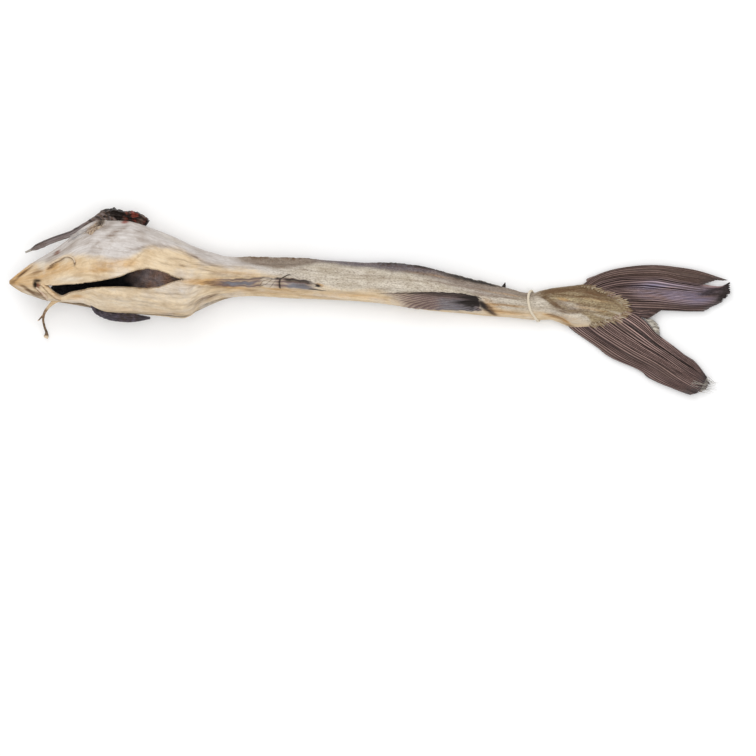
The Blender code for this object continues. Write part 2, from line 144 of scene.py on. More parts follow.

# Stains by layer, with some painted shade and highlights among them: x, y, half length, half width, slope in
# degrees, strength.
STAINS = {
    "taupe": [(-189, 50, 12, 2.6, -5, 0.5), (-230, 52, 8, 2.6, 45, 0.4), (-150, 47, 10, 2.2, -28, 0.4),
              (-250, 43, 12, 2.2, 38, 0.4), (-140, 40, 14, 2.6, -25, 0.45), (-268, 33, 8, 1.8, 35, 0.5),
              # (-218, 62) is partly brown skin and partly a painted shadow of the left breast fin.
              (-100, 31, 16, 2.6, -6, 0.4), (-117, 22, 16, 2.4, -6, 0.6), (-218, 62, 8, 3, 32, 0.9),
              (72, 15.5, 32, 4.6, -13, 0.85), (92, 7.5, 20, 5.5, -13, 0.9), (112, 6, 16, 2.4, -12, 0.7),
              (60, 5, 20, 2.6, -6, 0.35), (164, -3.8, 17, 3.4, -16, 0.65), (160, -13, 14, 3.2, -22, 0.55)],
    "pale": [(-272.5, 29, 4.2, 3.2, 62, 0.85), (-271, 25.5, 1.8, 4.6, 12, 0.7), (-250, 17.5, 12, 3.0, 0, 0.5),
             # (-163, 53) is a painted highlight on the upper flap's edge.
             (-288, 9.0, 9, 1.3, -32, 0.8), (-200, -2, 52, 7, 0, 0.35), (-163, 53, 14, 4, -25, 0.5),
             # (172, -15.0) is a painted highlight on the root of the tail.
             (143, -3.5, 8, 4.2, -32, 0.5), (172, -15.0, 10, 3.8, -12, 0.55), (182, -7, 8, 2.2, -10, 0.4),
             (-255, 34.5, 5, 1.2, 25, 0.6), (-22, 27, 8, 1.8, 0, 0.4), (112, 0.8, 18, 1.8, -8, 0.5),
             (168, -2.8, 6, 2.0, -15, 0.45), (205, -9.5, 7, 1.0, -14, 0.6), (197, -13.5, 9, 1.2, -12, 0.6),
             (206, 0.8, 5, 0.9, -38, 0.5), (158, -7, 9, 1.3, -28, 0.5)],
    "amber": [(-291, 21.5, 12, 3.0, 43, 0.95), (-286, 17, 19, 9, 22, 0.6), (-264, 23, 14, 6, 20, 0.3),
              (-250, 28, 15, 4.5, 12, 0.35), (-297, 16, 5, 3.5, 0, 0.9), (-221, 27.4, 27, 5, 8, 0.5),
              (-224, 25.3, 11, 2.4, 6, 0.6), (-198.5, 30.5, 8, 3.0, 25, 0.5), (-262, 28.3, 7, 2.2, 32, 1.0),
              (-262, 6.5, 7, 1.8, -42, 0.7), (-243, 3, 8, 2.2, 5, 0.5), (-145, 15, 11, 2.4, -6, 0.8),
              (-114, 11.2, 16, 1.4, -4, 0.9), (-76, 10, 15, 1.8, -4, 0.8), (-110, 22.4, 22, 1.8, -4, 0.4),
              (-43, 13.5, 4, 1.2, -15, 0.9), (-70, 6, 60, 1.6, -4, 0.3), (-10, 4.5, 30, 1.6, -3, 0.35),
              (50, 21.5, 20, 1.0, -8, 0.2), (112, -3.4, 17, 1.0, -5, 0.7), (112, -9.5, 16, 1.6, -6, 0.8),
              (150, -12, 10, 1.3, -14, 0.8), (162, -16.5, 6, 1.4, -34, 0.9), (-190, -8, 26, 2.5, -4, 0.3),
              (108, 6.5, 20, 0.8, -10, 0.35), (160, 1.8, 5, 1.2, -10, 0.6), (186, 1.5, 14, 0.9, -10, 0.5),
              (184, -6.5, 16, 0.9, -10, 0.4), (99.5, -4.5, 11, 4, -36, 0.7)],
    "brown": [(-229, 61.5, 8, 3.2, 42, 0.7), (-213, 55, 6, 2.4, 38, 0.4), (-205, 59.3, 5, 2.0, 30, 0.35),
              # (-277, 23.5) is partly a brown smudge and partly a painted shadow at the throat.
              (-277, 23.5, 7, 2.8, 30, 0.32), (-264, 27.5, 4.5, 1.3, 30, 0.5),
              # (-166, -12.2) is painted shade along the lower flap's edge, with some dirt, and (-137, 2.5)
              # painted shade in the lower flap's hollow.
              (-260, 39.5, 3.5, 1.6, 35, 0.8), (-166, -12.2, 26, 1.8, -3, 0.5), (-137, 2.5, 13, 1.8, 25, 0.5),
              (-127, 13, 9, 1.6, 0, 0.9), (97, -5.8, 8.5, 2.7, -40, 1.0), (100, -8.0, 6, 1.5, -45, 0.9),
              (156, 9.2, 19, 2.6, 6, 0.95), (182, 9.0, 13, 2.6, -14, 0.9), (152, -1.0, 12, 1.4, -38, 0.9),
              (168, 4.8, 16, 0.8, -6, 0.6), (192, 3.0, 14, 1.0, -14, 0.6), (180, -3, 14, 0.8, -9, 0.5),
              (170, -22, 14, 1.2, -25, 0.9), (-290, 21.3, 9, 1.2, 40, 0.7), (-298, 15.5, 3, 3, 0, 0.5),
              (-281, 6.6, 11, 1.1, -34, 0.8), (-277, 5, 9, 0.9, -25, 0.5), (206, -3, 8, 0.9, -40, 0.5),
              (158, -8.5, 9, 1.0, -12, 0.4), (184, 6, 24, 4.6, -14, 0.55), (-276.2, 13.2, 2.9, 3.4, 0, 1.0)],
    "red": [(-204, 65.5, 3, 1.6, 10, 0.9), (-259, 40, 3, 1.4, 35, 0.35), (-275.6, 13.2, 2.0, 2.2, 0, 0.5)],
    # (-278.2, 13.6) and (-276.0, 16.5) are painted shade in the throat's hole.
    "dark": [(-278.2, 13.6, 1.7, 3.6, 0, 1.0), (-276.0, 16.5, 3.0, 1.2, 0, 0.95),
             # (-166, -13.6) is painted shade along the lower flap's edge.
             (-244.5, 30.3, 0.8, 2.0, 0, 0.8), (-223.5, 65, 5, 2.6, 38, 0.8), (-166, -13.6, 18, 1.0, 2, 0.35),
             # (93.5, -4.2), (91.8, -2.0) and (98.5, -8.4) are a painted shadow under the rear anal fin's end.
             (-157.5, 17.5, 4, 0.7, -5, 0.8), (93.5, -4.2, 4.5, 2.3, -40, 0.95),
             (91.8, -2.0, 4.5, 2.3, -52, 0.9), (98.5, -8.4, 4.5, 1.1, -30, 0.75)],
}
PITS = [(-278.3, 13.6, 1.3, 3.4, 3.0), (-276.0, 16.5, 2.8, 1.2, 2.4)]   # x, y, half length, half width, depth
# Each layer of stain, painted shade and painted highlight, from the lowest up: how much of its mask counts, and
# how frayed its edge is.
STAIN_COATS = {"taupe": (0.8, 0.6), "pale": (0.9, 0.5), "amber": (0.9, 0.45), "brown": (0.9, 0.6),
               "crease": (0.8, 0.5), "mauve": (1.0, 0.3), "slate": (1.0, 0.35), "ray_light": (1.0, 0.2),
               "red": (0.9, 0.4), "dark": (1.0, 0.25)}

STATIONS = 430
SIDES = 138


def smooth(knots, at):
    """Value at each place of a smooth curve through (place, value) knots that doesn't overshoot them."""
    place, value = np.array(knots, float).T
    secant = np.diff(value) / np.diff(place)
    slope = np.concatenate([secant[:1], np.zeros(len(place) - 2), secant[-1:]])
    rising = secant[:-1] * secant[1:] > 0
    slope[1:-1][rising] = 2 / (1 / secant[:-1][rising] + 1 / secant[1:][rising])
    at = np.clip(np.asarray(at, float), place[0], place[-1])
    left = np.clip(np.searchsorted(place, at, side="right") - 1, 0, len(place) - 2)
    span = place[left + 1] - place[left]
    t = (at - place[left]) / span
    return ((1 + 2 * t) * (1 - t) ** 2 * value[left] + t * (1 - t) ** 2 * span * slope[left]
            + t * t * (3 - 2 * t) * value[left + 1] + t * t * (t - 1) * span * slope[left + 1])


def along(points, share):
    """Points at shares from 0 to 1 of a smooth line through the given points, one column a coordinate."""
    points = np.array(points, float)
    step = np.linspace(0, 1, len(points))
    return np.stack([smooth(np.column_stack([step, column]), share) for column in points.T], axis=-1)


def ease(t):
    """0 below 0, 1 above 1 and a smooth step between."""
    t = np.clip(t, 0, 1)
    return t * t * (3 - 2 * t)


def window(x, start, end, soft):
    """1 between start and end, falling smoothly to 0 over soft just inside them."""
    return ease((x - start) / soft) * ease((end - x) / soft)


def bell(u):
    """1 at 0, falling smoothly to almost 0 by 2 to either side."""
    return np.exp(-u ** 2)


def ripple(u):
    """Waves from 0 to 1 with a crest at each whole u."""
    return 0.5 + 0.5 * np.cos(2 * math.pi * u)


def drift(u, v, seed, around=0):
    """Smooth seeded noise from -1 to 1 on the lattice of whole u and v, repeating after around cells of v."""
    u, v = np.broadcast_arrays(u, v)
    low_u, low_v = np.floor(u), np.floor(v)
    share_u, share_v = ease(u - low_u), ease(v - low_v)

    def corner(i, j):
        j = np.mod(j, around) if around else j
        mixed = np.sin(i * 127.1 + j * 311.7 + seed * 74.7) * 43758.5453
        return 2 * (mixed - np.floor(mixed)) - 1

    near = corner(low_u, low_v) * (1 - share_u) + corner(low_u + 1, low_v) * share_u
    far = corner(low_u, low_v + 1) * (1 - share_u) + corner(low_u + 1, low_v + 1) * share_u
    return near * (1 - share_v) + far * share_v


def waver(u, seed):
    """The same noise along one line."""
    return drift(u, 0.0, seed)


def paint(red, green, blue):
    """A colour given as on a painter's chart from 0 to 255, turned into linear light."""
    part = np.array([red, green, blue], float) / 255
    linear = np.where(part <= 0.04045, part / 12.92, ((part + 0.055) / 1.055) ** 2.4)
    return tuple(float(value) for value in linear)


# --- The skin as a surface of x and turn
def middle_and_half(x):
    """Middle in y and half width of the body's section at x."""
    upper, lower = smooth(UPPER_EDGE, x), smooth(LOWER_EDGE, x)
    return (upper + lower) / 2, (upper - lower) / 2


def rounded(wave, roundness):
    """A cosine or sine raised so that the two together draw a superellipse of that roundness."""
    return np.sign(wave) * np.abs(wave) ** (2 / roundness)


def bare_skin(x, turn):
    """Skin point at x and turn: a superellipse with unlike upper and lower halves."""
    middle, half = middle_and_half(x)
    widest = smooth(WIDEST, x)
    above = np.sin(turn) > 0
    roundness = np.where(above, UPPER_ROUNDNESS, LOWER_ROUNDNESS)
    height = np.where(above, smooth(CREST, x) - widest, widest - smooth(UNDERSIDE, x))
    return np.stack([x + 0 * turn, middle + half * rounded(np.cos(turn), roundness),
                     widest + height * rounded(np.sin(turn), roundness)], axis=-1)


def skin_normal(x, turn):
    """Outward normal of the section at x and turn, from the skin points a small turn to either side."""
    step = 0.02
    tangent = bare_skin(x, turn + step) - bare_skin(x, turn - step)
    normal = np.stack([np.zeros_like(tangent[..., 0]), tangent[..., 2], -tangent[..., 1]], axis=-1)
    return normal / (np.linalg.norm(normal, axis=-1, keepdims=True) + 1e-9)


def skin(x, turn, lift=0.0):
    """Skin points with the long drying folds, raised by lift along the section's normal and kept above 0."""
    x, turn = np.broadcast_arrays(np.asarray(x, float), np.asarray(turn, float))
    fade = np.clip((x - THROAT_X) / 60, 0, 1) * np.clip((TWINE_X - 20 - x) / 60, 0, 1)
    folds = sum(depth * np.cos(count * turn + x / run) for depth, count, run in FOLDS) * fade
    points = bare_skin(x, turn) + skin_normal(x, turn) * (folds + lift)[..., None]
    points[..., 2] = np.maximum(points[..., 2], 0)
    return points


def turn_at(x, y):
    """Turn of the upper skin above a place (x, y) seen from above."""
    middle, half = middle_and_half(x)
    across = (y - middle) / half
    return np.arccos(np.clip(np.sign(across) * np.abs(across) ** (UPPER_ROUNDNESS / 2), -1, 1))


def lip_turns(x):
    """Turns of the slit's lower and upper lip. Past the slit's ends both are the belly's middle line."""
    low, high = turn_at(x, smooth(LOWER_LIP, x)), turn_at(x, smooth(UPPER_LIP, x))
    inside = window(x, SLIT_X[0] - 12, SLIT_X[1] + 12, 12)
    middle = (low + high) / 2 * inside + np.radians(smooth(BELLY_LINE, x)) * (1 - inside)
    ragged = 1 + 0.10 * waver(x / 1.3, 5) * window(x, -250, -214, 8) + 0.05 * waver(x / 4.0, 6)
    half_gap = (low - high) / 2 * window(x, SLIT_X[0], SLIT_X[1], 1.5) * ragged
    return middle + half_gap, middle - half_gap


def sheet_turn(x, across):
    """Turn at x of a sheet that runs from the lower lip (0) down round the back to the upper lip (1)."""
    low, high = lip_turns(x)
    eased = across - 0.34 * np.sin(2 * math.pi * across) / (2 * math.pi)
    return low + (high + 2 * math.pi - low) * eased


def crease_strength(x, y, line, width):
    """Bell across a line seen from above, fading at the line's ends."""
    knots = np.array(line, float)
    slope = np.gradient(smooth(line, np.linspace(knots[0, 0], knots[-1, 0], 50))).mean()
    fade = window(x, knots[0, 0] - 2, knots[-1, 0] + 2, min(9, (knots[-1, 0] - knots[0, 0]) / 3))
    return bell((y - smooth(line, x)) / (width * (1 + abs(slope)))) * fade


def relief(x, y, turn):
    """Height of wrinkles, creases and ridges over the plain skin, and how dark the creases are painted: brown
    and shade in them.
    """
    cells = turn / (2 * math.pi)
    flap = 1 - 0.4 * window(x, -110, 95, 30)
    sway = 0.35 * drift(x / 26, cells * 9, 12, 9)
    height = 0.24 * drift(x / 30, (cells + 0.012 * sway) * 58, 1, 58) * flap
    height += 0.16 * drift(x / 13, (cells + 0.010 * sway) * 104, 2, 104) * flap
    height += 0.75 * flap * drift(x / 46, cells * 11, 3, 11) + 0.12 * drift(x / 2.2, cells * 110, 4, 110)
    height += 0.28 * drift((x + 26 * turn) / 6.5, (x - 26 * turn) / 17, 8) * window(x, -290, -90, 60)
    height += WAIST_SWELL[0] * bell((x - TWINE_X) / WAIST_SWELL[1])
    above = ease(np.sin(turn) * 4 + 0.6)
    dark = np.zeros_like(height)
    for depth, width, darkness, line in CREASES:
        wander = y + 0.6 * waver(x / 7, len(line) + depth)
        strength = crease_strength(x, wander, line, width) * above
        height -= depth * strength
        dark = np.maximum(dark, darkness * strength * (0.75 + 0.25 * waver(x / 5, 9 + depth)))
    for at_x, at_y, long, wide, depth in PITS:
        height -= depth * np.exp(-((x - at_x) / long) ** 2 - ((y - at_y) / wide) ** 2) * above
    return height, dark


def stain_masks(x, y, turn):
    """How strongly each layer of colour lies at a place, from 0 to 1."""
    above = ease(np.sin(turn) * 5 + 0.45)
    masks = {layer: np.zeros_like(x) for layer in STAIN_COATS}
    for layer, stains in STAINS.items():
        for at_x, at_y, length, width, slope, strength in stains:
            c, s = math.cos(math.radians(slope)), math.sin(math.radians(slope))
            run, side = (x - at_x) * c + (y - at_y) * s, (y - at_y) * c - (x - at_x) * s
            blob = strength * np.exp(-((run / length) ** 2 + (side / width) ** 2) ** 1.5) * above
            masks[layer] = 1 - (1 - masks[layer]) * (1 - blob)
    return masks


# Where cream belly skin meets the grey flank, the flank the dark back and the wrist the scaly root, seen from
# above, and the turn of the middle of the back.
FLANK_LINE = [(-300, 24), (-285, 29), (-262, 33), (-250, 37), (-238, 36.5), (-222, 34.5), (-210, 33),
              (-200, 34.5), (-192, 38), (-182, 43), (-170, 44.5), (-157, 41), (-145, 35), (-134, 30),
              (-109, 27), (-76, 20), (-43, 11.6), (0, 7.6), (24, 2.7), (65, -4.8), (93, -6.6), (136, -9),
              (217, -24)]
BACK_LINE = [(-300, 70), (-150, 62), (-122, 44), (-112, 36), (-105, 31.5), (-90, 29), (-67, 27), (-52, 29.5),
             (-43, 31.5), (-32, 31), (-22, 29.5), (-10, 28.5), (0, 27), (24, 24.5), (48, 20.5), (73, 13),
             (90, 9), (107, 6), (130, 3), (217, -20)]
ROOT_LINE = [(136, 5.8), (144, 2.4), (150, -2.6), (155, -6.8), (163, -9.3), (173, -9.7), (179, -11.8),
             (183, -17), (186, -26), (217, -34)]
BACK_TURN = [(-300, -70), (-76, -70), (-34, -55), (24, -30), (57, -15), (136, 0), (217, 0)]


def skin_masks(x, y, turn):
    """All colour masks of the skin."""
    masks = stain_masks(x, y, turn)
    from_back = np.degrees(turn) - smooth(BACK_TURN, x)
    from_back = (from_back + 180) % 360 - 180
    above = np.sin(turn) > -0.15
    wander = 1.6 * drift(x / 17, y / 9, 11) + 0.8 * drift(x / 6, y / 3, 13)
    grey_above = ease((y + wander - smooth(FLANK_LINE, x)) / 7 + 0.5)
    edge = smooth([(-300, 92), (-150, 92), (-60, 118), (217, 122)], x)
    grey_below = ease((edge - np.abs(from_back)) / 16 + 0.5)
    grey = np.where((from_back > 0) & above, grey_above, grey_below)
    grey = np.where((from_back > 0) & ~above, 1.0, grey)
    masks["grey"] = grey
    back_above = ease((y + 0.7 * wander - smooth(BACK_LINE, x)) / 4.5 + 0.5)
    back_below = ease((50 - np.abs(from_back)) / 26 + 0.5)
    masks["back"] = np.where((from_back > 0) & above, np.maximum(back_above, 0.8 * back_below), back_below)
    masks["back"] = masks["back"] * (1 - 0.1 * ease((x - 88) / 20)) * (1 - ease((x - 130) / 10))
    masks["cold"] = window(x, -58, 80, 30)
    masks["warm_flank"] = ease((x + 125) / 90)
    past_root = y - smooth(ROOT_LINE, x) + 0.5 * drift(x / 2.5, y / 2.5, 15)
    masks["root"] = ease(past_root / 2.4 + 0.5) * ease((x - 137) / 7)
    masks["speckle"] = window(x, -120, 240, 50)
    return masks


# --- Mesh building
def grid_faces(rows, columns, start):
    """Corner numbers of each quad of a grid of points whose first point has the number start."""
    number = start + np.arange(rows * columns).reshape(rows, columns)
    corners = [number[:-1, :-1], number[:-1, 1:], number[1:, 1:], number[1:, :-1]]
    return np.stack(corners, axis=-1).reshape(-1, 4)


def sheet(points, masks=None, flow=None, material=0):
    """One grid of points in mm, with its masks, its pattern coordinates and the number of its material."""
    return {"points": points, "masks": masks or {}, "flow": points if flow is None else flow,
            "material": material}


def build(name, sheets, materials, body="root", node="stockfish", smooth_angle=60):
    """One mesh object from sheets: their points welded where they meet, faces out, masks as attributes."""
    mesh = bpy.data.meshes.new(name)
    count, faces = 0, []
    for part in sheets:
        rows, columns = part["points"].shape[:2]
        faces.append(grid_faces(rows, columns, count))
        count += rows * columns
    corners = np.concatenate(faces).astype(np.int32)
    mesh.vertices.add(count)
    points = np.concatenate([part["points"].reshape(-1, 3) for part in sheets])
    mesh.vertices.foreach_set("co", (points * MM).astype(np.float32).ravel())
    mesh.loops.add(corners.size)
    mesh.loops.foreach_set("vertex_index", corners.ravel())
    mesh.polygons.add(len(corners))
    mesh.polygons.foreach_set("loop_start", np.arange(0, corners.size, 4, dtype=np.int32))
    numbers = np.concatenate([np.full(len(group), part["material"]) for group, part in zip(faces, sheets)])
    mesh.polygons.foreach_set("material_index", numbers.astype(np.int32))
    mesh.update(calc_edges=True)
    for mask in sorted({mask for part in sheets for mask in part["masks"]}):
        values = [np.broadcast_to(part["masks"].get(mask, 0.0), part["points"].shape[:2]).ravel()
                  for part in sheets]
        layer = mesh.attributes.new(mask, "FLOAT", "POINT")
        layer.data.foreach_set("value", np.concatenate(values).astype(np.float32))
    flows = [np.broadcast_to(part["flow"], part["points"].shape).reshape(-1, 3) for part in sheets]
    layer = mesh.attributes.new("flow", "FLOAT_VECTOR", "POINT")
    layer.data.foreach_set("vector", np.concatenate(flows).astype(np.float32).ravel())
    bm = bmesh.new()
    bm.from_mesh(mesh)
    bmesh.ops.remove_doubles(bm, verts=bm.verts, dist=WELD)
    bmesh.ops.dissolve_degenerate(bm, dist=WELD, edges=bm.edges)
    bmesh.ops.recalc_face_normals(bm, faces=bm.faces)
    bm.to_mesh(mesh)
    bm.free()
    mesh.shade_smooth()
    mesh.set_sharp_from_angle(angle=math.radians(smooth_angle))
    obj = bpy.data.objects.new(name, mesh)
    bpy.context.scene.collection.objects.link(obj)
    for material in materials:
        mesh.materials.append(bpy.data.materials[material])
    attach(obj, body)
    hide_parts(node)
    return obj


def flow_of(x, turn, reach=26.0):
    """Pattern coordinates that run along the fish: x, and the turn wound on a drum of one radius."""
    return np.stack(np.broadcast_arrays(x, reach * np.cos(turn), reach * np.sin(turn)), axis=-1)


def tube_sheet(centre, radius, sides=10, flat=1.0, twist=0.0, closed=False):
    """A tube round a line: circles of the given radii, flattened in height, across the line's direction."""
    direction = np.gradient(centre, axis=0)
    if closed:
        direction = np.roll(centre, -1, axis=0) - np.roll(centre, 1, axis=0)
    direction /= np.linalg.norm(direction, axis=1, keepdims=True) + 1e-9
    side = np.cross(direction, [0.0, 0.0, 1.0])
    side /= np.linalg.norm(side, axis=1, keepdims=True) + 1e-9
    up = np.cross(side, direction)
    angle = np.linspace(0, 2 * math.pi, sides + 1)[None, :] + twist
    radius = np.asarray(radius, float).reshape(-1, 1)
    grid = (centre[:, None, :] + side[:, None, :] * (radius * np.cos(angle))[..., None]
            + up[:, None, :] * (radius * flat * np.sin(angle))[..., None])
    if closed:
        return np.concatenate([grid, grid[:1]])
    ends = [np.broadcast_to(line[None, None], (1, sides + 1, 3)) for line in (centre[0], centre[-1])]
    return np.concatenate([ends[0], grid, ends[1]])


def web_sheets(top, bottom, masks, flow, material=0):
    """A closed thin web between a top and a bottom grid: both grids and strips round their borders."""
    sheets = [sheet(top, masks, flow, material), sheet(bottom, masks, flow, material)]
    borders = (np.s_[:1, :], np.s_[-1:, :], np.s_[:, :1], np.s_[:, -1:])
    for border in borders:
        def pair(first, second):
            lines = [np.ascontiguousarray(grid[border]).reshape(1, -1, *grid.shape[2:])
                     for grid in (first, second)]
            return np.concatenate(lines)
        strip_masks = {key: pair(value, value) for key, value in masks.items()}
        sheets.append(sheet(pair(top, bottom), strip_masks, pair(flow, flow), material))
    return sheets


# --- Materials
class Nodes:
    """Short ways to add and link the nodes of one node tree, and to place the shared groups in it."""

    def __init__(self, tree, groups=None):
        self.tree = tree
        self.groups = groups
        self.count = 0

    def put(self, value, socket):
        """Feed a socket from another one, or give it a value, where a colour gets its alpha."""
        if isinstance(value, bpy.types.NodeSocket):
            self.tree.links.new(value, socket)
        elif value is not None:
            socket.default_value = (*value, 1.0) if socket.type == "RGBA" else value

    def add(self, kind, inputs=(), **settings):
        """Add a node, set out in rows of twelve."""
        node = self.tree.nodes.new(kind)
        node.location = (180 * (self.count % 12) - 1400, -260 * (self.count // 12))
        self.count += 1
        for key, value in settings.items():
            setattr(node, key, value)
        for key, value in dict(inputs).items():
            self.put(value, node.inputs[key])
        return node

    def math(self, operation, a, b=None, clamp=False):
        return self.add("ShaderNodeMath", {0: a, 1: b}, operation=operation, use_clamp=clamp).outputs[0]

    def plus(self, a, b):
        return self.math("ADD", a, b)

    def minus(self, a, b):
        return self.math("SUBTRACT", a, b)

    def times(self, a, b):
        return self.math("MULTIPLY", a, b)

    def total(self, *terms):
        """Sum of (value, weight) terms."""
        whole = self.times(*terms[0])
        for term in terms[1:]:
            whole = self.plus(whole, self.times(*term))
        return whole

    def over(self, value, start, gain):
        """How far a value lies over start, times gain, from 0 to 1."""
        return self.math("MULTIPLY", self.minus(value, start), gain, clamp=True)

    def under(self, value, start, gain):
        """How far a value lies under start, times gain, from 0 to 1."""
        return self.math("MULTIPLY", self.minus(start, value), gain, clamp=True)

    def mix(self, share, a, b, blend="MIX"):
        """Colour b over colour a, by share."""
        node = self.add("ShaderNodeMix", {0: share, 6: a, 7: b}, data_type="RGBA", blend_type=blend)
        return node.outputs[2]

    def stretch(self, vector, scale):
        return self.add("ShaderNodeVectorMath", {0: vector, 1: scale}, operation="MULTIPLY").outputs[0]

    def noise(self, vector, scale, detail=3.0, roughness=0.55, along=1.0):
        """Noise from 0 to 1, drawn out along x where along is below 1."""
        if along != 1.0:
            vector = self.stretch(vector, (along, 1.0, 1.0))
        return self.add("ShaderNodeTexNoise", {"Vector": vector, "Scale": scale, "Detail": detail,
                                               "Roughness": roughness}).outputs[0]

    def cells(self, vector, squeeze, scale, randomness=1.0):
        """Distance to the middle of the nearest cell of a squeezed pattern."""
        return self.add("ShaderNodeTexVoronoi", {"Vector": self.stretch(vector, squeeze), "Scale": scale,
                                                 "Randomness": randomness}).outputs["Distance"]

    def mask(self, name):
        return self.add("ShaderNodeAttribute", attribute_name=name).outputs["Fac"]

    def flow(self):
        return self.add("ShaderNodeAttribute", attribute_name="flow").outputs["Vector"]

    def group(self, name, inputs):
        return self.add("ShaderNodeGroup", inputs, node_tree=self.groups[name]).outputs

    def fibre(self, flow, fineness, contrast):
        """Height and streak mask of long fibres."""
        grown = self.group("fibre", {"Place": flow, "Fineness": fineness, "Contrast": contrast})
        return grown["Height"], grown["Streak"]

    def wrinkles(self, flow, along, scale, sharpness):
        place = self.stretch(flow, (along, 1.0, 1.0))
        return self.group("wrinkle", {"Place": place, "Scale": scale, "Sharpness": sharpness})[0]

    def lay(self, under, stain, amount, grain, fray):
        """A stain laid over a colour, with an edge frayed along a grain."""
        return self.group("stain", {"Under": under, "Stain": stain, "Amount": amount, "Grain": grain,
                                    "Fray": fray})["Color"]

    def finish(self, shader, colour, height, strength, reach, roughness, specular):
        """Feed the shader its colour, its sheen and the bump of a height that counts for reach metres."""
        bump = self.add("ShaderNodeBump", {"Height": height, "Strength": strength, "Distance": reach})
        for value, socket in ((colour, "Base Color"), (bump.outputs[0], "Normal"), (roughness, "Roughness"),
                              (specular, "Specular IOR Level")):
            self.put(value, shader.inputs[socket])


def new_group(name, inputs, outputs):
    """An empty shader node group: returns its tree, its input sockets and its output sockets."""
    tree = bpy.data.node_groups.new(name, "ShaderNodeTree")
    for sockets, way in ((inputs, "INPUT"), (outputs, "OUTPUT")):
        for socket, kind in sockets.items():
            tree.interface.new_socket(socket, in_out=way, socket_type="NodeSocket" + kind)
    return tree, tree.nodes.new("NodeGroupInput").outputs, tree.nodes.new("NodeGroupOutput").inputs


def stain_group():
    """Lays one colour over another where a mask says; the mask's middle values follow a grain."""
    tree, given, out = new_group("stain", {"Under": "Color", "Stain": "Color", "Amount": "Float",
                                           "Grain": "Float", "Fray": "Float"}, {"Color": "Color"})
    n = Nodes(tree)
    swing = n.times(n.times(n.minus(given["Grain"], 0.5), given["Fray"]), 16.0)
    middle = n.times(given["Amount"], n.minus(1.0, given["Amount"]))
    mask = n.math("ADD", given["Amount"], n.times(swing, middle), clamp=True)
    n.put(n.mix(mask, given["Under"], given["Stain"]), out["Color"])
    return tree


def wrinkle_group():
    """Thin broken lines where a smooth noise crosses its middle value, as on skin that shrank as it dried."""
    tree, given, out = new_group("wrinkles", {"Place": "Vector", "Scale": "Float", "Sharpness": "Float"},
                                 {"Line": "Float"})
    n = Nodes(tree)
    wave = n.math("ABSOLUTE", n.minus(n.noise(given["Place"], given["Scale"], 2.0, 0.55), 0.5))
    n.put(n.math("SUBTRACT", 1.0, n.times(wave, given["Sharpness"]), clamp=True), out["Line"])
    return tree


def fibre_group():
    """Long fine fibres: noise drawn out along x in two sizes, as a height and as a streak mask."""
    tree, given, out = new_group("fibre_grain", {"Place": "Vector", "Fineness": "Float", "Contrast": "Float"},
                                 {"Height": "Float", "Streak": "Float"})
    n = Nodes(tree)
    fine = n.noise(n.stretch(given["Place"], (0.05, 1.0, 1.0)), given["Fineness"], 4.0, 0.65)
    broad = n.noise(n.stretch(given["Place"], (0.035, 0.45, 0.45)), given["Fineness"], 3.0, 0.5)
    streak = n.times(n.minus(n.plus(fine, broad), 1.0), given["Contrast"])
    n.put(n.total((fine, 0.6), (broad, 0.4)), out["Height"])
    n.put(n.math("ADD", streak, 0.5, clamp=True), out["Streak"])
    return tree


def new_material(name, groups=None):
    """A material with an empty Principled shader: returns its node helper and the shader."""
    material = bpy.data.materials.new(name)
    material.use_nodes = True
    return Nodes(material.node_tree, groups), material.node_tree.nodes["Principled BSDF"]


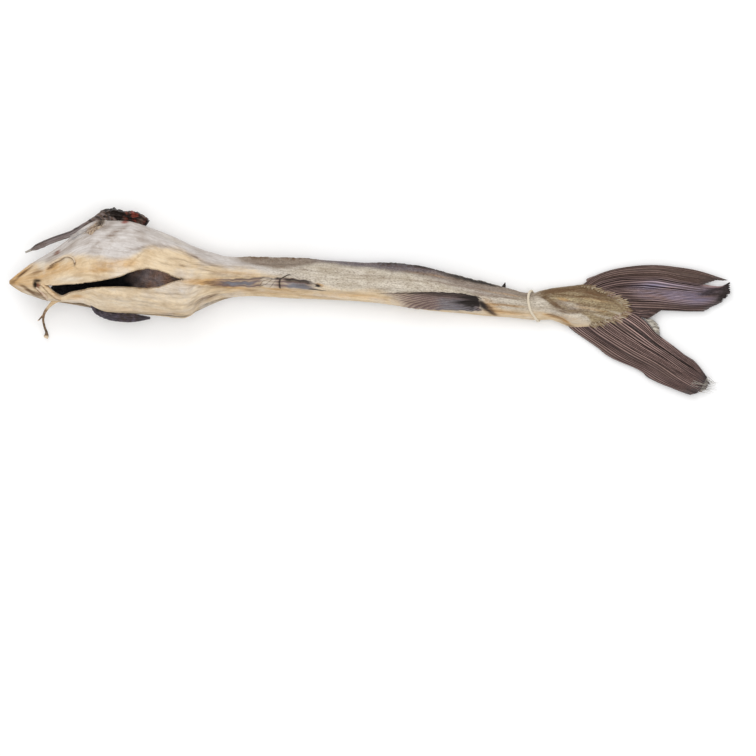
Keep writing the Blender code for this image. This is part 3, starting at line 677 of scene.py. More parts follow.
def skin_material(colours, groups):
    """Dried skin: cream belly, grey flank, dark back and scaly root, stained, wrinkled and streaked, with some
    painted shade, shadows and highlights among its stains.
    """
    n, shader = new_material("fish_skin", groups)
    flow = n.flow()
    millimetres = n.stretch(n.add("ShaderNodeTexCoord").outputs["Object"], (1000.0, 1000.0, 1000.0))
    fibre_height, fibre = n.fibre(flow, 0.42, 1.6)
    fine_height, fine = n.fibre(flow, 1.25, 2.0)
    strong_fine = n.math("POWER", fine, 2.0)
    patch = n.noise(flow, 0.09, 4.0, 0.6, along=0.5)
    cloud = n.noise(flow, 0.05, 5.0, 0.65, along=0.7)
    blotch = n.noise(flow, 0.13, 6.0, 0.65, along=0.6)
    ragged = n.noise(flow, 0.35, 5.0, 0.65, along=0.2)
    grain = n.noise(millimetres, 0.9, 4.0, 0.65)

    cream = n.mix(n.times(fibre, 0.5), colours.cream, colours.straw)
    cream = n.mix(n.under(cloud, 0.47, 3.4), cream, colours.straw)
    cream = n.mix(n.over(cloud, 0.5, 3.0), cream, colours.lilac)
    grey = n.mix(n.over(patch, 0.36, 3.2), colours.grey, colours.lilac)
    grey = n.mix(n.times(strong_fine, 0.24), grey, colours.taupe)
    warm_grey = n.mix(n.over(patch, 0.38, 3.2), colours.flank, colours.pale)
    warm_grey = n.mix(n.times(strong_fine, 0.3), warm_grey, colours.taupe)
    grey = n.mix(n.mask("warm_flank"), grey, warm_grey)
    colour = n.lay(cream, grey, n.mask("grey"), ragged, 0.4)
    back = n.mix(n.mask("cold"), colours.back, colours.back_cold)
    back = n.mix(n.over(grain, 0.45, 3.5), back, colours.taupe)
    colour = n.lay(colour, back, n.mask("back"), grain, 0.5)

    scales = n.over(n.cells(flow, (0.42, 0.75, 0.75), 1.0, 0.8), 0.25, 1.9)
    root = n.mix(fibre, colours.root, colours.root_dark)
    root = n.mix(n.over(patch, 0.52, 4.0), root, colours.brown)
    root = n.mix(n.over(grain, 0.52, 4.0), root, colours.flank)
    root = n.mix(n.times(scales, 0.66), root, colours.root_dark)
    colour = n.lay(colour, root, n.mask("root"), grain, 0.35)
    for layer, (share, fray) in STAIN_COATS.items():
        stain = getattr(colours, "brown" if layer == "crease" else layer)
        colour = n.lay(colour, stain, n.times(n.mask(layer), share), ragged, fray)

    colour = n.mix(n.times(strong_fine, 0.24), colour, colours.tan, "MULTIPLY")
    colour = n.mix(n.over(blotch, 0.46, 1.9), colour, colours.tan, "MULTIPLY")
    lines = n.math("MAXIMUM", n.times(n.wrinkles(flow, 0.07, 0.30, 26.0), 0.20),
                   n.times(n.wrinkles(flow, 0.35, 0.34, 22.0), 0.16))
    colour = n.mix(n.times(lines, n.plus(0.45, cloud)), colour, colours.line, "MULTIPLY")
    specks = n.times(n.over(n.cells(flow, (0.5, 0.8, 0.8), 1.2), 0.42, 2.0), n.mask("speckle"))
    specks = n.times(specks, n.math("MULTIPLY", n.plus(n.mask("grey"), 0.25), 0.50, clamp=True))
    colour = n.mix(specks, colour, colours.taupe, "MULTIPLY")
    height = n.total((fibre_height, 1.1), (fine_height, 0.5), (grain, 0.45), (lines, -0.9),
                     (n.times(scales, n.mask("root")), -0.5), (specks, -0.35))
    n.finish(shader, colour, height, 0.6, 0.0009, n.plus(0.5, n.times(grain, 0.3)), 0.25)


def lining_material(colours, groups):
    """Belly lining: near black towards the neck, its own dark colour deepened there as painted shade of the
    deep hollow, brown and mauve towards the vent with lilac painted highlights, crumpled.
    """
    n, shader = new_material("belly_lining", groups)
    flow = n.flow()
    fibre_height, fibre = n.fibre(flow, 0.6, 2.4)
    patch = n.noise(flow, 0.11, 4.0, 0.65)
    crumple = n.noise(flow, 0.42, 5.0, 0.7, along=0.7)
    warm = n.mix(n.over(patch, 0.35, 3.3), colours.lining_brown, colours.lining_mauve)
    warm = n.mix(n.over(crumple, 0.48, 2.6), warm, colours.lining_dark_and_shade)
    # Lilac where the crumple noise is low: painted highlights on the crumples.
    warm = n.mix(n.under(crumple, 0.42, 4.0), warm, colours.lilac)
    colour = n.mix(n.mask("rear"), colours.lining_dark_and_shade, warm)
    colour = n.mix(n.times(fibre, 0.25), colour, colours.lining_dark_and_shade)
    meat = n.mix(fibre, colours.flesh, colours.brown)
    meat = n.mix(n.over(patch, 0.45, 3.0), meat, colours.amber)
    colour = n.mix(n.mask("flesh"), colour, meat)
    n.finish(shader, colour, n.total((fibre_height, 1.0), (crumple, 1.6)), 0.8, 0.0018, 0.5, 0.3)


def fin_material(name, colours, groups, web, ray, tip, sheen):
    """Dried fin: dark web between lighter rays, paler where the mask says, streaked along the rays, and bluish
    and brighter where its mask paints a bluish tint and a sheen.
    """
    n, shader = new_material(name, groups)
    flow = n.flow()
    fibre_height, fibre = n.fibre(flow, 0.9, 2.4)
    thin_fibre = n.fibre(flow, 2.2, 2.0)[1]
    patch = n.noise(flow, 0.14, 4.0, 0.65, along=0.25)
    grain = n.noise(flow, 0.5, 4.0, 0.65)
    tint_and_sheen = n.times(n.mask("blue"), n.over(patch, 0.3, 2.6))
    light = n.mix(tint_and_sheen, ray, sheen)
    light = n.mix(n.over(patch, 0.5, 2.4), light, colours.fin_brown)
    between_rays = n.mix(n.times(tint_and_sheen, 0.2), web, sheen)
    on_ray = n.math("MULTIPLY", n.mask("ray"), n.minus(1.2, n.times(thin_fibre, 0.4)), clamp=True)
    colour = n.mix(on_ray, between_rays, light)
    colour = n.mix(n.times(fibre, 0.22), colour, web)
    for mask, stain, fray in (("tip", tip, 0.6), ("warm", colours.fin_brown, 0.6),
                              ("gap", colours.dark, 0.4)):
        colour = n.lay(colour, stain, n.mask(mask), grain, fray)
    n.finish(shader, colour, n.total((fibre_height, 0.8), (grain, 0.4)), 0.7, 0.0008, 0.55, 0.25)


FIN_KINDS = [       # material, and the colours of its web, its rays, its tips and its sheen
    ("tail_web", "web", "ray", "fin_tip", "sheen"),
    ("dark_fin", "dark", "ray", "fin_tip", "sheen"),
    ("torn_membrane", "membrane", "pale", "fin_tip", "sheen"),
    ("grey_blade", "fin_brown", "blade", "membrane", "sheen"),
    ("dried_blood", "dark", "red", "fin_brown", "red"),
]


def twine_material(colours, groups):
    """Undyed cotton twine: off-white plies with darker, dustier hollows and fine slanting fibres."""
    n, shader = new_material("cotton_twine", groups)
    height, streak = n.fibre(n.flow(), 3.0, 1.6)
    colour = n.mix(n.times(streak, 0.6), colours.twine, colours.twine_dark)
    colour = n.mix(n.mask("hollow"), colour, colours.twine_dark)
    n.finish(shader, colour, height, 0.8, 0.0004, 0.9, 0.2)


def colour_property(name, description, *chart):
    """A colour that a user can change, given as on a painter's chart."""
    return FloatVectorProperty(name=name, description=description, subtype="COLOR", size=3, min=0.0, max=1.0,
                               default=paint(*chart))


class StockfishColours(PropertyGroup):
    cream: colour_property("Cream", "Belly skin", 228, 209, 179)
    straw: colour_property("Straw", "Darker fibres of the belly skin", 209, 181, 141)
    grey: colour_property("Grey", "Flank skin", 197, 190, 185)
    flank: colour_property("Warm flank", "Flank skin towards the tail", 202, 192, 174)
    lilac: colour_property("Lilac", "Palest film on the flaps", 216, 211, 208)
    # Also paints a shadow under the left breast fin.
    taupe: colour_property("Taupe", "Fibres and specks of the flank", 162, 150, 141)
    back: colour_property("Back", "Skin of the back", 144, 130, 115)
    back_cold: colour_property("Cold back", "Bluish middle of the back", 104, 96, 102)
    amber: colour_property("Amber", "Oil stains", 206, 164, 108)
    # Also paints shade: in the creases, along the lower flap's edge, in its hollow, at the throat and on the
    # shaded side of the strands on the skin.
    brown: colour_property("Brown", "Dark dried edges and creases", 112, 84, 58)
    tan: colour_property("Tan", "Fine streaks all over the skin", 186, 169, 149)
    # Also paints highlights: two patches on the skin and the lit side of the strands on the skin.
    line: colour_property("Line", "Thin wrinkles", 150, 128, 106)
    pale: colour_property("Pale", "Rubbed and lifted skin", 226, 218, 204)
    # Also paints shade: in the tail's folds, in the throat's hole, along the lower flap's edge, under the rear
    # anal fin's end and on the right breast fin.
    dark: colour_property("Dark", "Deep gaps and burnt edges", 38, 30, 27)
    mauve: colour_property("Mauve", "Web of the belly fins", 118, 98, 96)
    slate: colour_property("Slate", "Blue grey of the belly fins", 122, 122, 130)
    ray_light: colour_property("Light ray", "Rays of the belly fins", 186, 168, 152)
    root: colour_property("Root", "Scaly skin at the root of the tail", 200, 184, 148)
    root_dark: colour_property("Root shade", "Darker scales at the root of the tail", 134, 113, 84)
    flesh: colour_property("Flesh", "Dried meat at the neck", 150, 106, 66)
    # Near black: the lining's own dark colour, deepened as painted shade of the deep hollow.
    lining_dark_and_shade: colour_property("Lining, deep", "Belly lining towards the neck", 24, 21, 25)
    lining_brown: colour_property("Lining, brown", "Belly lining towards the vent", 206, 160, 134)
    lining_mauve: colour_property("Lining, mauve", "Patches of the belly lining", 200, 180, 178)
    web: colour_property("Web", "Tail fin between its rays", 62, 47, 46)
    ray: colour_property("Ray", "Rays of the tail fin", 216, 182, 172)
    sheen: colour_property("Blue grey", "Cool sheen of the fin rays", 202, 194, 228)
    fin_tip: colour_property("Fin tip", "Frayed grey ends of the fins", 88, 86, 87)
    fin_brown: colour_property("Fin brown", "Warm parts of the fins", 96, 78, 68)
    blade: colour_property("Blade", "Blade of the left breast fin", 146, 137, 131)
    membrane: colour_property("Membrane", "Torn film at the tail's fork", 168, 162, 152)
    red: colour_property("Red", "Dried blood at the shoulder", 142, 66, 52)
    twine: colour_property("Twine", "Undyed cotton", 240, 231, 212)
    twine_dark: colour_property("Twine shade", "Hollows between the plies", 186, 169, 146)
    floor: colour_property("Floor", "Pale floor", 252, 252, 252)


def shared_materials():
    """The materials, made once: later calls find them by name."""
    colours = bpy.context.scene.stockfish_colours
    if "fish_skin" in bpy.data.materials:
        return
    groups = {"stain": stain_group(), "fibre": fibre_group(), "wrinkle": wrinkle_group()}
    skin_material(colours, groups)
    lining_material(colours, groups)
    for name, *shades in FIN_KINDS:
        fin_material(name, colours, groups, *(getattr(colours, shade) for shade in shades))
    twine_material(colours, groups)


# --- Body
def cut_front(x, spare, uncut):
    """The x at which the beheading cut leaves each line of a surface: the last place that lies below the cut.

    spare is how far each place lies over the cut, and a line that the cut misses starts at uncut.
    """
    below = spare < 0
    last = np.minimum(len(x) - 1 - np.argmax(below[::-1], axis=0), len(x) - 2)
    column = np.arange(spare.shape[1])
    start, end = spare[last, column], spare[last + 1, column]
    front = x[last, 0] + (x[1, 0] - x[0, 0]) * start / (start - end - 1e-9)
    return np.where(below.any(axis=0), front, uncut)


def neck_front(across):
    """Where the beheading cut leaves each line of the outer skin."""
    x = np.linspace(THROAT_X, NECK_END_X, 400)[:, None]
    spare = skin(x, sheet_turn(x, across[None, :]))[..., 2] - smooth(NECK_CUT, x)
    return cut_front(x, np.where(x > NECK_CUT[-1][0], 9.0, spare), THROAT_X)


def lining_points(x, turn, near_lip):
    """Inner wall: the hollow's superellipse, drawn up to 2 mm under the skin beside the slit's lips."""
    first, last = CAVITY_X
    share = np.clip((x - first) / (last - first), 0.004, 0.9999)
    roof, floor = smooth(CREST, x) - FLAP_WALL, smooth(CAVITY_FLOOR, x)
    middle, half = middle_and_half(x)
    closing = np.sin(math.pi * share) ** 0.3
    across = CAVITY_FILL * (half - FLAP_WALL) * closing * rounded(np.cos(turn), UPPER_ROUNDNESS)
    rise = (roof - floor) / 2 * closing * rounded(np.sin(turn), UPPER_ROUNDNESS)
    hollow = np.stack([x, middle + across, (roof + floor) / 2 + rise], axis=-1)
    crumple = 0.9 * drift(x / 7, turn * 4, 21) + 0.5 * drift(x / 3, turn * 9, 22)
    centre = np.stack([x, middle + 0 * turn, (roof + floor) / 2 + 0 * turn], axis=-1)
    inward = centre - hollow
    inward /= np.linalg.norm(inward, axis=-1, keepdims=True) + 1e-6
    hollow = hollow + inward * (crumple * closing * window(x, first, last, 12))[..., None]
    under = skin(x, turn, -2.0)
    return under * near_lip[..., None] + hollow * (1 - near_lip[..., None])


def inner_neck_front(across):
    """Where the beheading cut leaves each line of the inner wall."""
    x = np.linspace(INNER_X[0], NECK_END_X, 300)[:, None]
    turn = sheet_turn(x, across[None, :])
    spare = lining_points(x + 0 * turn, turn, 0 * turn)[..., 2] - smooth(NECK_CUT, x)
    return cut_front(x, spare, INNER_X[0])


def slit_shut(x):
    """Whether the slit is shut at x."""
    low, high = lip_turns(x)
    return np.abs(low - high) < 1e-6


def body_sheets():
    """The outer skin, the neck's cut face, the inner wall and the lips: sheets that meet at their edges."""
    across = np.linspace(0, 1, SIDES)
    lip_x = smooth([(0, THROAT_X), (0.42, -150), (0.78, 90), (1, ROOT_TIP_X)], np.linspace(0, 1, STATIONS))
    front = neck_front(across)
    ragged = 1.2 * waver(across * 60, 31) * ease((front - THROAT_X) / 20)
    front = front + ragged
    share = (lip_x - THROAT_X) / (ROOT_TIP_X - THROAT_X)
    x = front[None, :] + (ROOT_TIP_X - front[None, :]) * share[:, None]
    turn = sheet_turn(x, across[None, :])
    plain = skin(x, turn)
    height, crease = relief(x, plain[..., 1], turn)
    fade = window(x, THROAT_X, ROOT_TIP_X, 6) * ease((x - front[None, :]) / 3 + 0.3)
    outer = skin(x, turn, height * fade)
    outer[:, -1] = np.where(slit_shut(lip_x)[:, None], outer[:, 0], outer[:, -1])
    outer[-1] = outer[-1].mean(axis=0)
    masks = skin_masks(x, outer[..., 1], turn)
    masks["crease"] = crease
    masks["brown"] = np.maximum(masks["brown"], 0.6 * (np.minimum(across, 1 - across)[None, :] < 0.006)
                                * window(x, SLIT_X[0], SLIT_X[1], 4))

    # inner wall: its rows share the outer sheet's x at the lips
    first, last = np.searchsorted(lip_x, INNER_X)
    inner_lip_x = lip_x[first:last]
    inner_front = np.maximum(inner_neck_front(across), inner_lip_x[0])
    inner_share = (inner_lip_x - inner_lip_x[0]) / (inner_lip_x[-1] - inner_lip_x[0])
    inner_x = inner_front[None, :] + (inner_lip_x[-1] - inner_front[None, :]) * inner_share[:, None]
    inner_turn = sheet_turn(inner_x, across[None, :])
    beside = 1 - ease(np.minimum(across, 1 - across)[None, :] / 0.13)
    near_lip = beside * window(inner_x, SLIT_X[0] - 4, SLIT_X[1] + 3, 9)
    inner = lining_points(inner_x, inner_turn, near_lip)
    inner[-1] = inner[-1].mean(axis=0)
    closed = slit_shut(inner_lip_x)
    inner[:, -1] = np.where(closed[:, None], inner[:, 0], inner[:, -1])
    # Towards the neck the lining stays near black: its own dark colour, deepened as painted shade of the deep
    # hollow.
    rear = ease((inner_x + 203) / 20 + 0.25 * drift(inner_x / 5, inner_turn * 5, 23))
    rear = rear * (1 - 0.45 * ease((inner_x + 172) / 12))

    # neck face between the two front rings
    steps = np.linspace(0, 1, 9)[:, None, None]
    face = outer[0][None] * (1 - steps) + inner[0][None] * steps
    deep = ease((front - THROAT_X) / 40)[None, :]
    bulge = np.sin(math.pi * steps[..., 0])
    face[..., 0] += bulge * deep * (1.6 + 1.2 * drift(across[None, :] * 40, steps[..., 0] * 4, 33))
    face[..., 2] = np.maximum(face[..., 2], 0)
    layers = np.stack(np.broadcast_arrays(across[None, :] * 420, steps[..., 0] * 26, front[None, :]), axis=-1)

    # rounded lips where the slit is open
    outer_rows = outer[first:last]
    opened = ~closed
    start, end = np.argmax(opened) - 1, len(opened) - np.argmax(opened[::-1]) + 1
    rows = slice(start, end)
    gap = np.linalg.norm(outer_rows[:, 0] - outer_rows[:, -1], axis=1)[rows]
    swell = np.minimum(LIP_SWELL, gap / 2)[:, None] * np.sin(math.pi * np.linspace(0, 1, 6))[None, :]
    lips = []
    for column, way in ((0, 1.0), (-1, -1.0)):
        step = np.linspace(0, 1, 6)[None, :, None]
        lip = outer_rows[rows, column][:, None] * (1 - step) + inner[rows, column][:, None] * step
        lip[..., 1] += way * swell
        lips.append(lip)
    lip_masks = {"brown": 0 * lips[0][..., 0] + 0.35, "amber": 0 * lips[0][..., 0] + 0.3}
    return [sheet(outer, masks, flow_of(x, turn)), *(sheet(lip, lip_masks) for lip in lips),
            sheet(inner, {"rear": rear}, flow_of(inner_x, inner_turn), 1),
            sheet(face, {"flesh": 1.0}, layers, 1)]


class STOCKFISH_OT_body(Operator):
    """Make the skin and the belly lining"""
    bl_idname = "stockfish.body"
    bl_label = "Body"

    def execute(self, context):
        shared_materials()
        build("body", body_sheets(), ["fish_skin", "belly_lining"], smooth_angle=70)
        return {"FINISHED"}


# --- Tail fin
LOBE_HEIGHT = 5.0
LOBE_WAVE = 1.8
WEBS = {        # rays as (place across the web, points from root to tip)
    "upper_edge": [(0.0, [(172, 11), (181, 17.5), (190, 23.2), (208, 28.2), (235, 30.7), (266, 27.4),
                          (299.3, 17.6)]),
                   (0.5, [(178, 10.6), (194, 20.5), (212, 24.3), (238, 25.4), (263, 21.3), (288, 17.8)]),
                   (1.0, [(180, 9), (197, 16.5), (216, 19), (241, 19.2), (262, 15.0), (276.8, 14.2)])],
    "upper_main": [(0.0, [(178, 9.5), (196, 18.0), (215.5, 21.2), (241, 21.4), (264, 17.0), (279, 14.2),
                          (291, 12.8), (299.6, 16.5)]),
                   (0.30, [(190, 6), (204, 9.5), (222, 11), (246, 9.4), (272.7, 6.6), (299.8, 7)]),
                   (0.58, [(204, 0), (216, 2.5), (233, 2.2), (252, 0), (272.7, -1.7), (294, 0)]),
                   (0.80, [(206, -5), (222, -6), (237, -6.2), (252, -6.6), (266, -8.3), (277.6, -8.3)]),
                   (0.90, [(206, -8.4), (214, -8), (224, -7.5), (230, -7.2), (236.5, -7), (243, -7)]),
                   (1.0, [(206, -10), (214, -11), (220.4, -12), (223.7, -12.9), (227, -13.7),
                          (231.2, -14.5)])],
    "lower": [(0.0, [(208, -6), (219, -9.5), (228, -15.5), (238, -25.9), (255, -38.9), (271, -50.6),
                     (280.1, -62.3)]),
              (0.33, [(198, -12), (214.2, -24), (231.2, -36.5), (247.8, -47.3), (264.4, -58.1), (283, -69)]),
              (0.64, [(182, -15), (200.6, -28.7), (221, -41.3), (241, -52.3), (259.4, -63.9), (278, -75.2)]),
              (1.0, [(158, -13), (166, -22.8), (182, -34), (204.6, -48.4), (227, -59.5), (246, -70.6),
                     (266.4, -78)])],
    "film": [(0.0, [(229, -14.5), (233, -14.5), (236, -15.5)]), (0.4, [(232, -18), (236, -18.5), (240, -19)]),
             (0.75, [(235, -22), (238.5, -22.5), (241.5, -24.5)]),
             (1.0, [(237, -25.5), (239, -26.5), (241, -29)])],
}
ROOT_OUTLINE = [(176, 13.6), (187, 11.8), (194.6, 9), (202, 6), (208.5, 2.6), (212.5, -0.8), (214.4, -5.6),
                (214.8, -9.5), (211.5, -12.3), (205.9, -15), (198.4, -16.9), (190.8, -19.6), (184, -21)]


def web_plan(name, ray, out):
    """A web seen from above: its given rays are smooth lines from inside the root, the rest lie between."""
    lines = []
    for place, line in WEBS[name]:
        inner = tuple(1.15 * first - 0.15 * second for first, second in zip(*line[:2]))
        lines.append(along([inner, *line], out))
    return between([place for place, line in WEBS[name]], lines, ray[..., None])


def between(places, values, at):
    """Values between arrays that are given at increasing places, each in proportion to how near it is."""
    result = 0
    for number, place in enumerate(places):
        left = places[number - 1] if number else place - 1
        right = places[number + 1] if number + 1 < len(places) else place + 1
        rising = np.clip((at - left) / (place - left), 0, 1)
        falling = np.clip((right - at) / (right - place), 0, 1)
        weight = np.where(at < place, rising, falling)
        result = result + weight * values[number]
    return result


def ray_profile(ray, out, count, seed):
    """Ridges across the rays, 1 on a ray and 0 between two, each splitting in two towards the tip."""
    place = ray * count + 0.65 * waver(ray * count * 0.5, seed) + 0.5 * drift(out * 3.4, ray * 7, seed + 1)
    single = ripple(place)
    split = ripple(2 * place)
    share = ease((out - 0.45) / 0.30) * 0.5
    return single * (1 - share) + (0.4 * single + 0.6 * split) * share


def web_top(ray, out, count, seed, folds=()):
    """Height of a web's middle, its ridges and the darkness of its deep folds, which paints shade into them."""
    ridge = ray_profile(ray, out, count, seed)
    broad = drift(out * 3, ray * 7, seed + 5) + 0.5 * drift(out * 7, ray * 15, seed + 8)
    gap = np.zeros(np.broadcast(ray, out).shape)
    for at, lean, start, end, width in folds:
        shaky = ray - at - lean * out - 0.006 * waver(out * 9, seed + 9)
        gap = np.maximum(gap, bell(shaky / width) * window(out, start, end, 0.12))
    grown = np.minimum(3.5 * out, 1)
    height = LOBE_HEIGHT + LOBE_WAVE * np.sin(2.6 * out + 4 * ray) * out
    height = height + (0.9 * (ridge - 0.4) + 0.8 * broad) * grown - 1.3 * gap
    return height, ridge, gap


def web_piece(name, count, seed, columns, rows=120, folds=(), tatter=0.012, blue=0.0, brown=0.0, curl=1.2,
              light=1.0):
    """One web of the tail as a pleated sheet with uneven frayed ends."""
    ray = np.linspace(0, 1, columns)[None, :]
    out = np.linspace(0, 1, rows)[:, None]
    fray = 1 + tatter * waver(ray * 31, seed + 2) + 0.8 * tatter * waver(ray * 90, seed + 3)
    out, ray = np.broadcast_arrays(out * fray, ray)
    sway = 0.020 * waver(out * 9, seed + 11) * (np.abs(ray - 0.5) * 2) ** 4
    flat = web_plan(name, ray + sway, out)
    height, ridge, gap = web_top(ray, out, count, seed, folds)
    edge = np.minimum(np.minimum(ray, 1 - ray) * 28, 1)
    half = (1.5 * (1 - out) ** 2 + 0.32) * (0.35 + 0.65 * ease(edge))
    lift = curl * (1 + waver(ray * 9, seed + 7)) * ease((out - 0.86) / 0.14)
    top, bottom = (np.concatenate([flat, (height + lift + side * half)[..., None]], axis=-1)
                   for side in (1, -1))
    number = np.floor(ray * count + 0.5)
    strong = 0.70 + 0.30 * drift(number * 0.73, out * 2.2, seed + 12)
    strong = strong + 0.15 * drift(ray * count, out * 14, seed + 14)
    worn = ease((drift(out * 5, ray * 24, seed + 13) - 0.35) * 3)
    # A painted sheen: the middle of the upper lobe made bluish and its rays brighter, as where the light falls
    # on it.
    sheen = blue * window(ray, -0.05, 0.72, 0.25) * window(out, 0.36, 1.05, 0.2)
    strong = strong * (light + 0.65 * sheen) * (0.6 + 0.4 * ease(np.minimum(ray, 1 - ray) * 12))
    blotched = np.maximum(brown, 0.55 * ease(drift(out * 4, ray * 6, seed + 6) * 1.4 - 0.1))
    # The gap mask is painted shade in the deep folds, and wear between the rays.
    masks = {"ray": np.clip((ridge * 1.5 - 0.35) * strong, 0, 1),
             "gap": np.maximum(gap, 0.5 * worn * (1 - ridge)),
             "tip": ease((out - 0.90) / 0.09) * 0.6,
             "blue": sheen,
             "warm": np.maximum(0.45 * (1 - ease(out / 0.10)), blotched * (1 - 0.7 * ridge))}
    if name == "upper_main":
        rolled = ease((out - 0.93) / 0.04) * ease((0.62 - ray) / 0.1)
        shade = window(out, 0.80, 1.1, 0.08) * window(ray, -0.1, 0.42, 0.12)
        shade = shade * ease(0.6 + drift(out * 14, ray * 9, 46))
        start = 0.6 * (1 - ease((out - 0.04) / 0.14)) * window(ray, -0.1, 0.4, 0.15)
        masks["gap"] = np.maximum.reduce([masks["gap"], 0.8 * rolled, 0.75 * shade, start])
        rim = window(out, 0.72, 0.97, 0.06) * (1 - ease((ray - 0.03) / 0.09))
        masks["ray"] = np.maximum(masks["ray"], 0.6 * rim)
        masks["gap"] = masks["gap"] * (1 - rim)
    along_ray = np.stack([out * 120, ray * count * 2.2, 0 * out], axis=-1)
    return web_sheets(top, bottom, masks, along_ray)


def fray_sheets(start, way, spread, count, length, radius, seed):
    """Loose fibres at a torn end: thin tapering tubes that fan out from a short line of roots."""
    sheets = []
    place = (np.arange(count) + 0.5) / count
    swing = waver(place * count, seed)
    stretch = 0.6 + 0.4 * np.abs(waver(place * count, seed + 1))
    step = np.linspace(0, 1, 9)
    for i in range(count):
        base = np.array(start[0]) * (1 - place[i]) + np.array(start[1]) * place[i]
        angle = math.radians(way + spread * (place[i] - 0.5) + 22 * swing[i])
        run = step * length * stretch[i]
        bend = 2.6 * swing[i] * step ** 2
        line = np.stack([base[0] + run * math.cos(angle) - bend * math.sin(angle),
                         base[1] + run * math.sin(angle) + bend * math.cos(angle),
                         base[2] + 1.6 * stretch[i] * step ** 2 * math.sin(7 * place[i])], axis=-1)
        sheets.append(sheet(tube_sheet(line, radius * (1.05 - step), 5), {"tip": 0.45, "ray": 0.7}))
    return sheets


def root_tongues(count, seed):
    """Scaly tongues in which the root's skin ends on the web: short flat strips that taper along the rays."""
    sheets = []
    place = (np.arange(count) + 0.5) / count
    starts = along(ROOT_OUTLINE, place)
    chance = np.arange(count) * 1.37
    reach = 0.8 + 5.5 * np.abs(waver(chance, seed)) ** 2
    width = 0.70 + 0.45 * drift(chance, 3.0, seed + 1)
    fan = smooth([(0, 24), (0.35, 12), (0.62, -12), (1, -38)], place)
    fan = np.radians(fan + 9 * drift(chance, 7.0, seed + 2))
    shift = 0.9 * drift(chance, 11.0, seed + 3)
    step = np.linspace(0, 1, 8)
    for i in range(count):
        run = -3.2 + shift[i] + (3.2 + reach[i]) * step
        x, y = starts[i, 0] + run * math.cos(fan[i]), starts[i, 1] + run * math.sin(fan[i])
        under = skin(x, turn_at(x, y))[:, 2] * ease(-run / 2.5) + 6.7 * (1 - ease(-run / 2.5))
        line = np.column_stack([x, y, np.maximum(under, 6.6) + 0.15])
        grid = tube_sheet(line, width[i] * np.sqrt(1.02 - step), 6, flat=0.30)
        tone = 0.5 + 0.5 * math.sin(i * 2.4 + seed)
        sheets.append(sheet(grid, {"root": 1.0, "brown": tone, "pale": 0.35 * (1 - tone)}, grid))
    return sheets


class STOCKFISH_OT_tail(Operator):
    """Make both lobes of the tail fin with their pleated rays, frayed ends and the torn film at the fork"""
    bl_idname = "stockfish.tail"
    bl_label = "Tail fin"

    def execute(self, context):
        shared_materials()
        # The upper edge's brown and its dim rays are partly its colour and partly painted shade of a strip that
        # turns away from the light.
        upper = web_piece("upper_edge", 7, 41, 80, brown=0.7, curl=0.4, light=0.6)
        upper += web_piece("upper_main", 22, 43, 230, blue=1.0, curl=1.8, light=0.5, folds=(
            (0.07, 0.0, 0.1, 0.8, 0.010), (0.22, 0.02, 0.2, 0.8, 0.008), (0.42, 0.0, 0.1, 0.7, 0.008),
            (0.63, 0.0, 0.05, 0.6, 0.010)))
        build("tail_lobe_upper", upper, ["tail_web"])
        lower = web_piece("lower", 25, 51, 230, light=0.86, folds=(
            (0.26, -0.08, 0.22, 0.97, 0.022), (0.40, 0.0, 0.1, 0.8, 0.010), (0.62, 0.02, 0.15, 0.85, 0.008),
            (0.80, 0.0, 0.1, 0.6, 0.008)))
        build("tail_lobe_lower", lower, ["tail_web"])
        fray = fray_sheets([(269, -65, 9.0), (266, -71, 8.6)], -12, 16, 4, 26, 0.22, 61)
        fray += fray_sheets([(281, -62, 8.2), (274, -76, 7.2)], -16, 54, 15, 15, 0.22, 63)
        build("frayed_ray_ends", fray, ["torn_membrane"])
        build("torn_film", web_piece("film", 3, 67, 40, 30, tatter=0.16, curl=0.5), ["torn_membrane"])
        build("root_tongues", root_tongues(90, 95), ["fish_skin"])
        return {"FINISHED"}


# --- Fins pressed on the skin
# Flat fins: upper and lower border seen from above. Back fins: first and last x, turns at front and back.
FLAT_FINS = {
    "anal_fin_front": ([(-160, 15.0), (-151, 16.8), (-138, 17.9), (-124, 19), (-105, 19.6), (-90, 20.4),
                        (-76, 19.6), (-59, 19), (-49.5, 17.4), (-41, 15), (-35, 11.6)],
                       [(-160, 13.2), (-151, 12.8), (-138, 12), (-122, 11.5), (-105, 11.4), (-90, 11.4),
                        (-76, 10.6), (-59, 10.2), (-47, 9.0), (-35, 8.0)]),
    "anal_fin_rear": ([(2, 6.0), (16, 6.9), (29.5, 7.3), (48, 8.0), (67, 7.4), (79, 6.0), (86, 4.7),
                       (94, 1.8)],
                      [(2, 3.8), (10, 2.4), (19.5, -1.2), (29.5, -4.4), (37, -6.2), (55, -7), (69, -7.2),
                       (79, -8), (94, -8.6)]),
    "breast_fin_base": ([(-252, 49.6), (-246, 54.0), (-241, 57.4), (-233, 61.6), (-226, 64.9), (-218, 65.8)],
                        [(-252, 48.2), (-245, 51.0), (-239, 54.4), (-236, 55.2), (-231, 53.6), (-226.5, 57.5),
                         (-218, 65.0)]),
}
BACK_FINS = {
    "dorsal_fin_first": (-205, -140, (-62, -42), (-58, -44)),
    "dorsal_fin_second": (-115, -40, (-26, 36), (-24, 26)),
    "dorsal_fin_third": (-6, 114, (-18, 24), (-12, 58)),
}
FIN_DEPTH = 2.2     # how far a pressed fin's underside lies below the skin


def inset(across):
    """0 at both borders and 1 midway."""
    return np.minimum(across, 1 - across) * 2


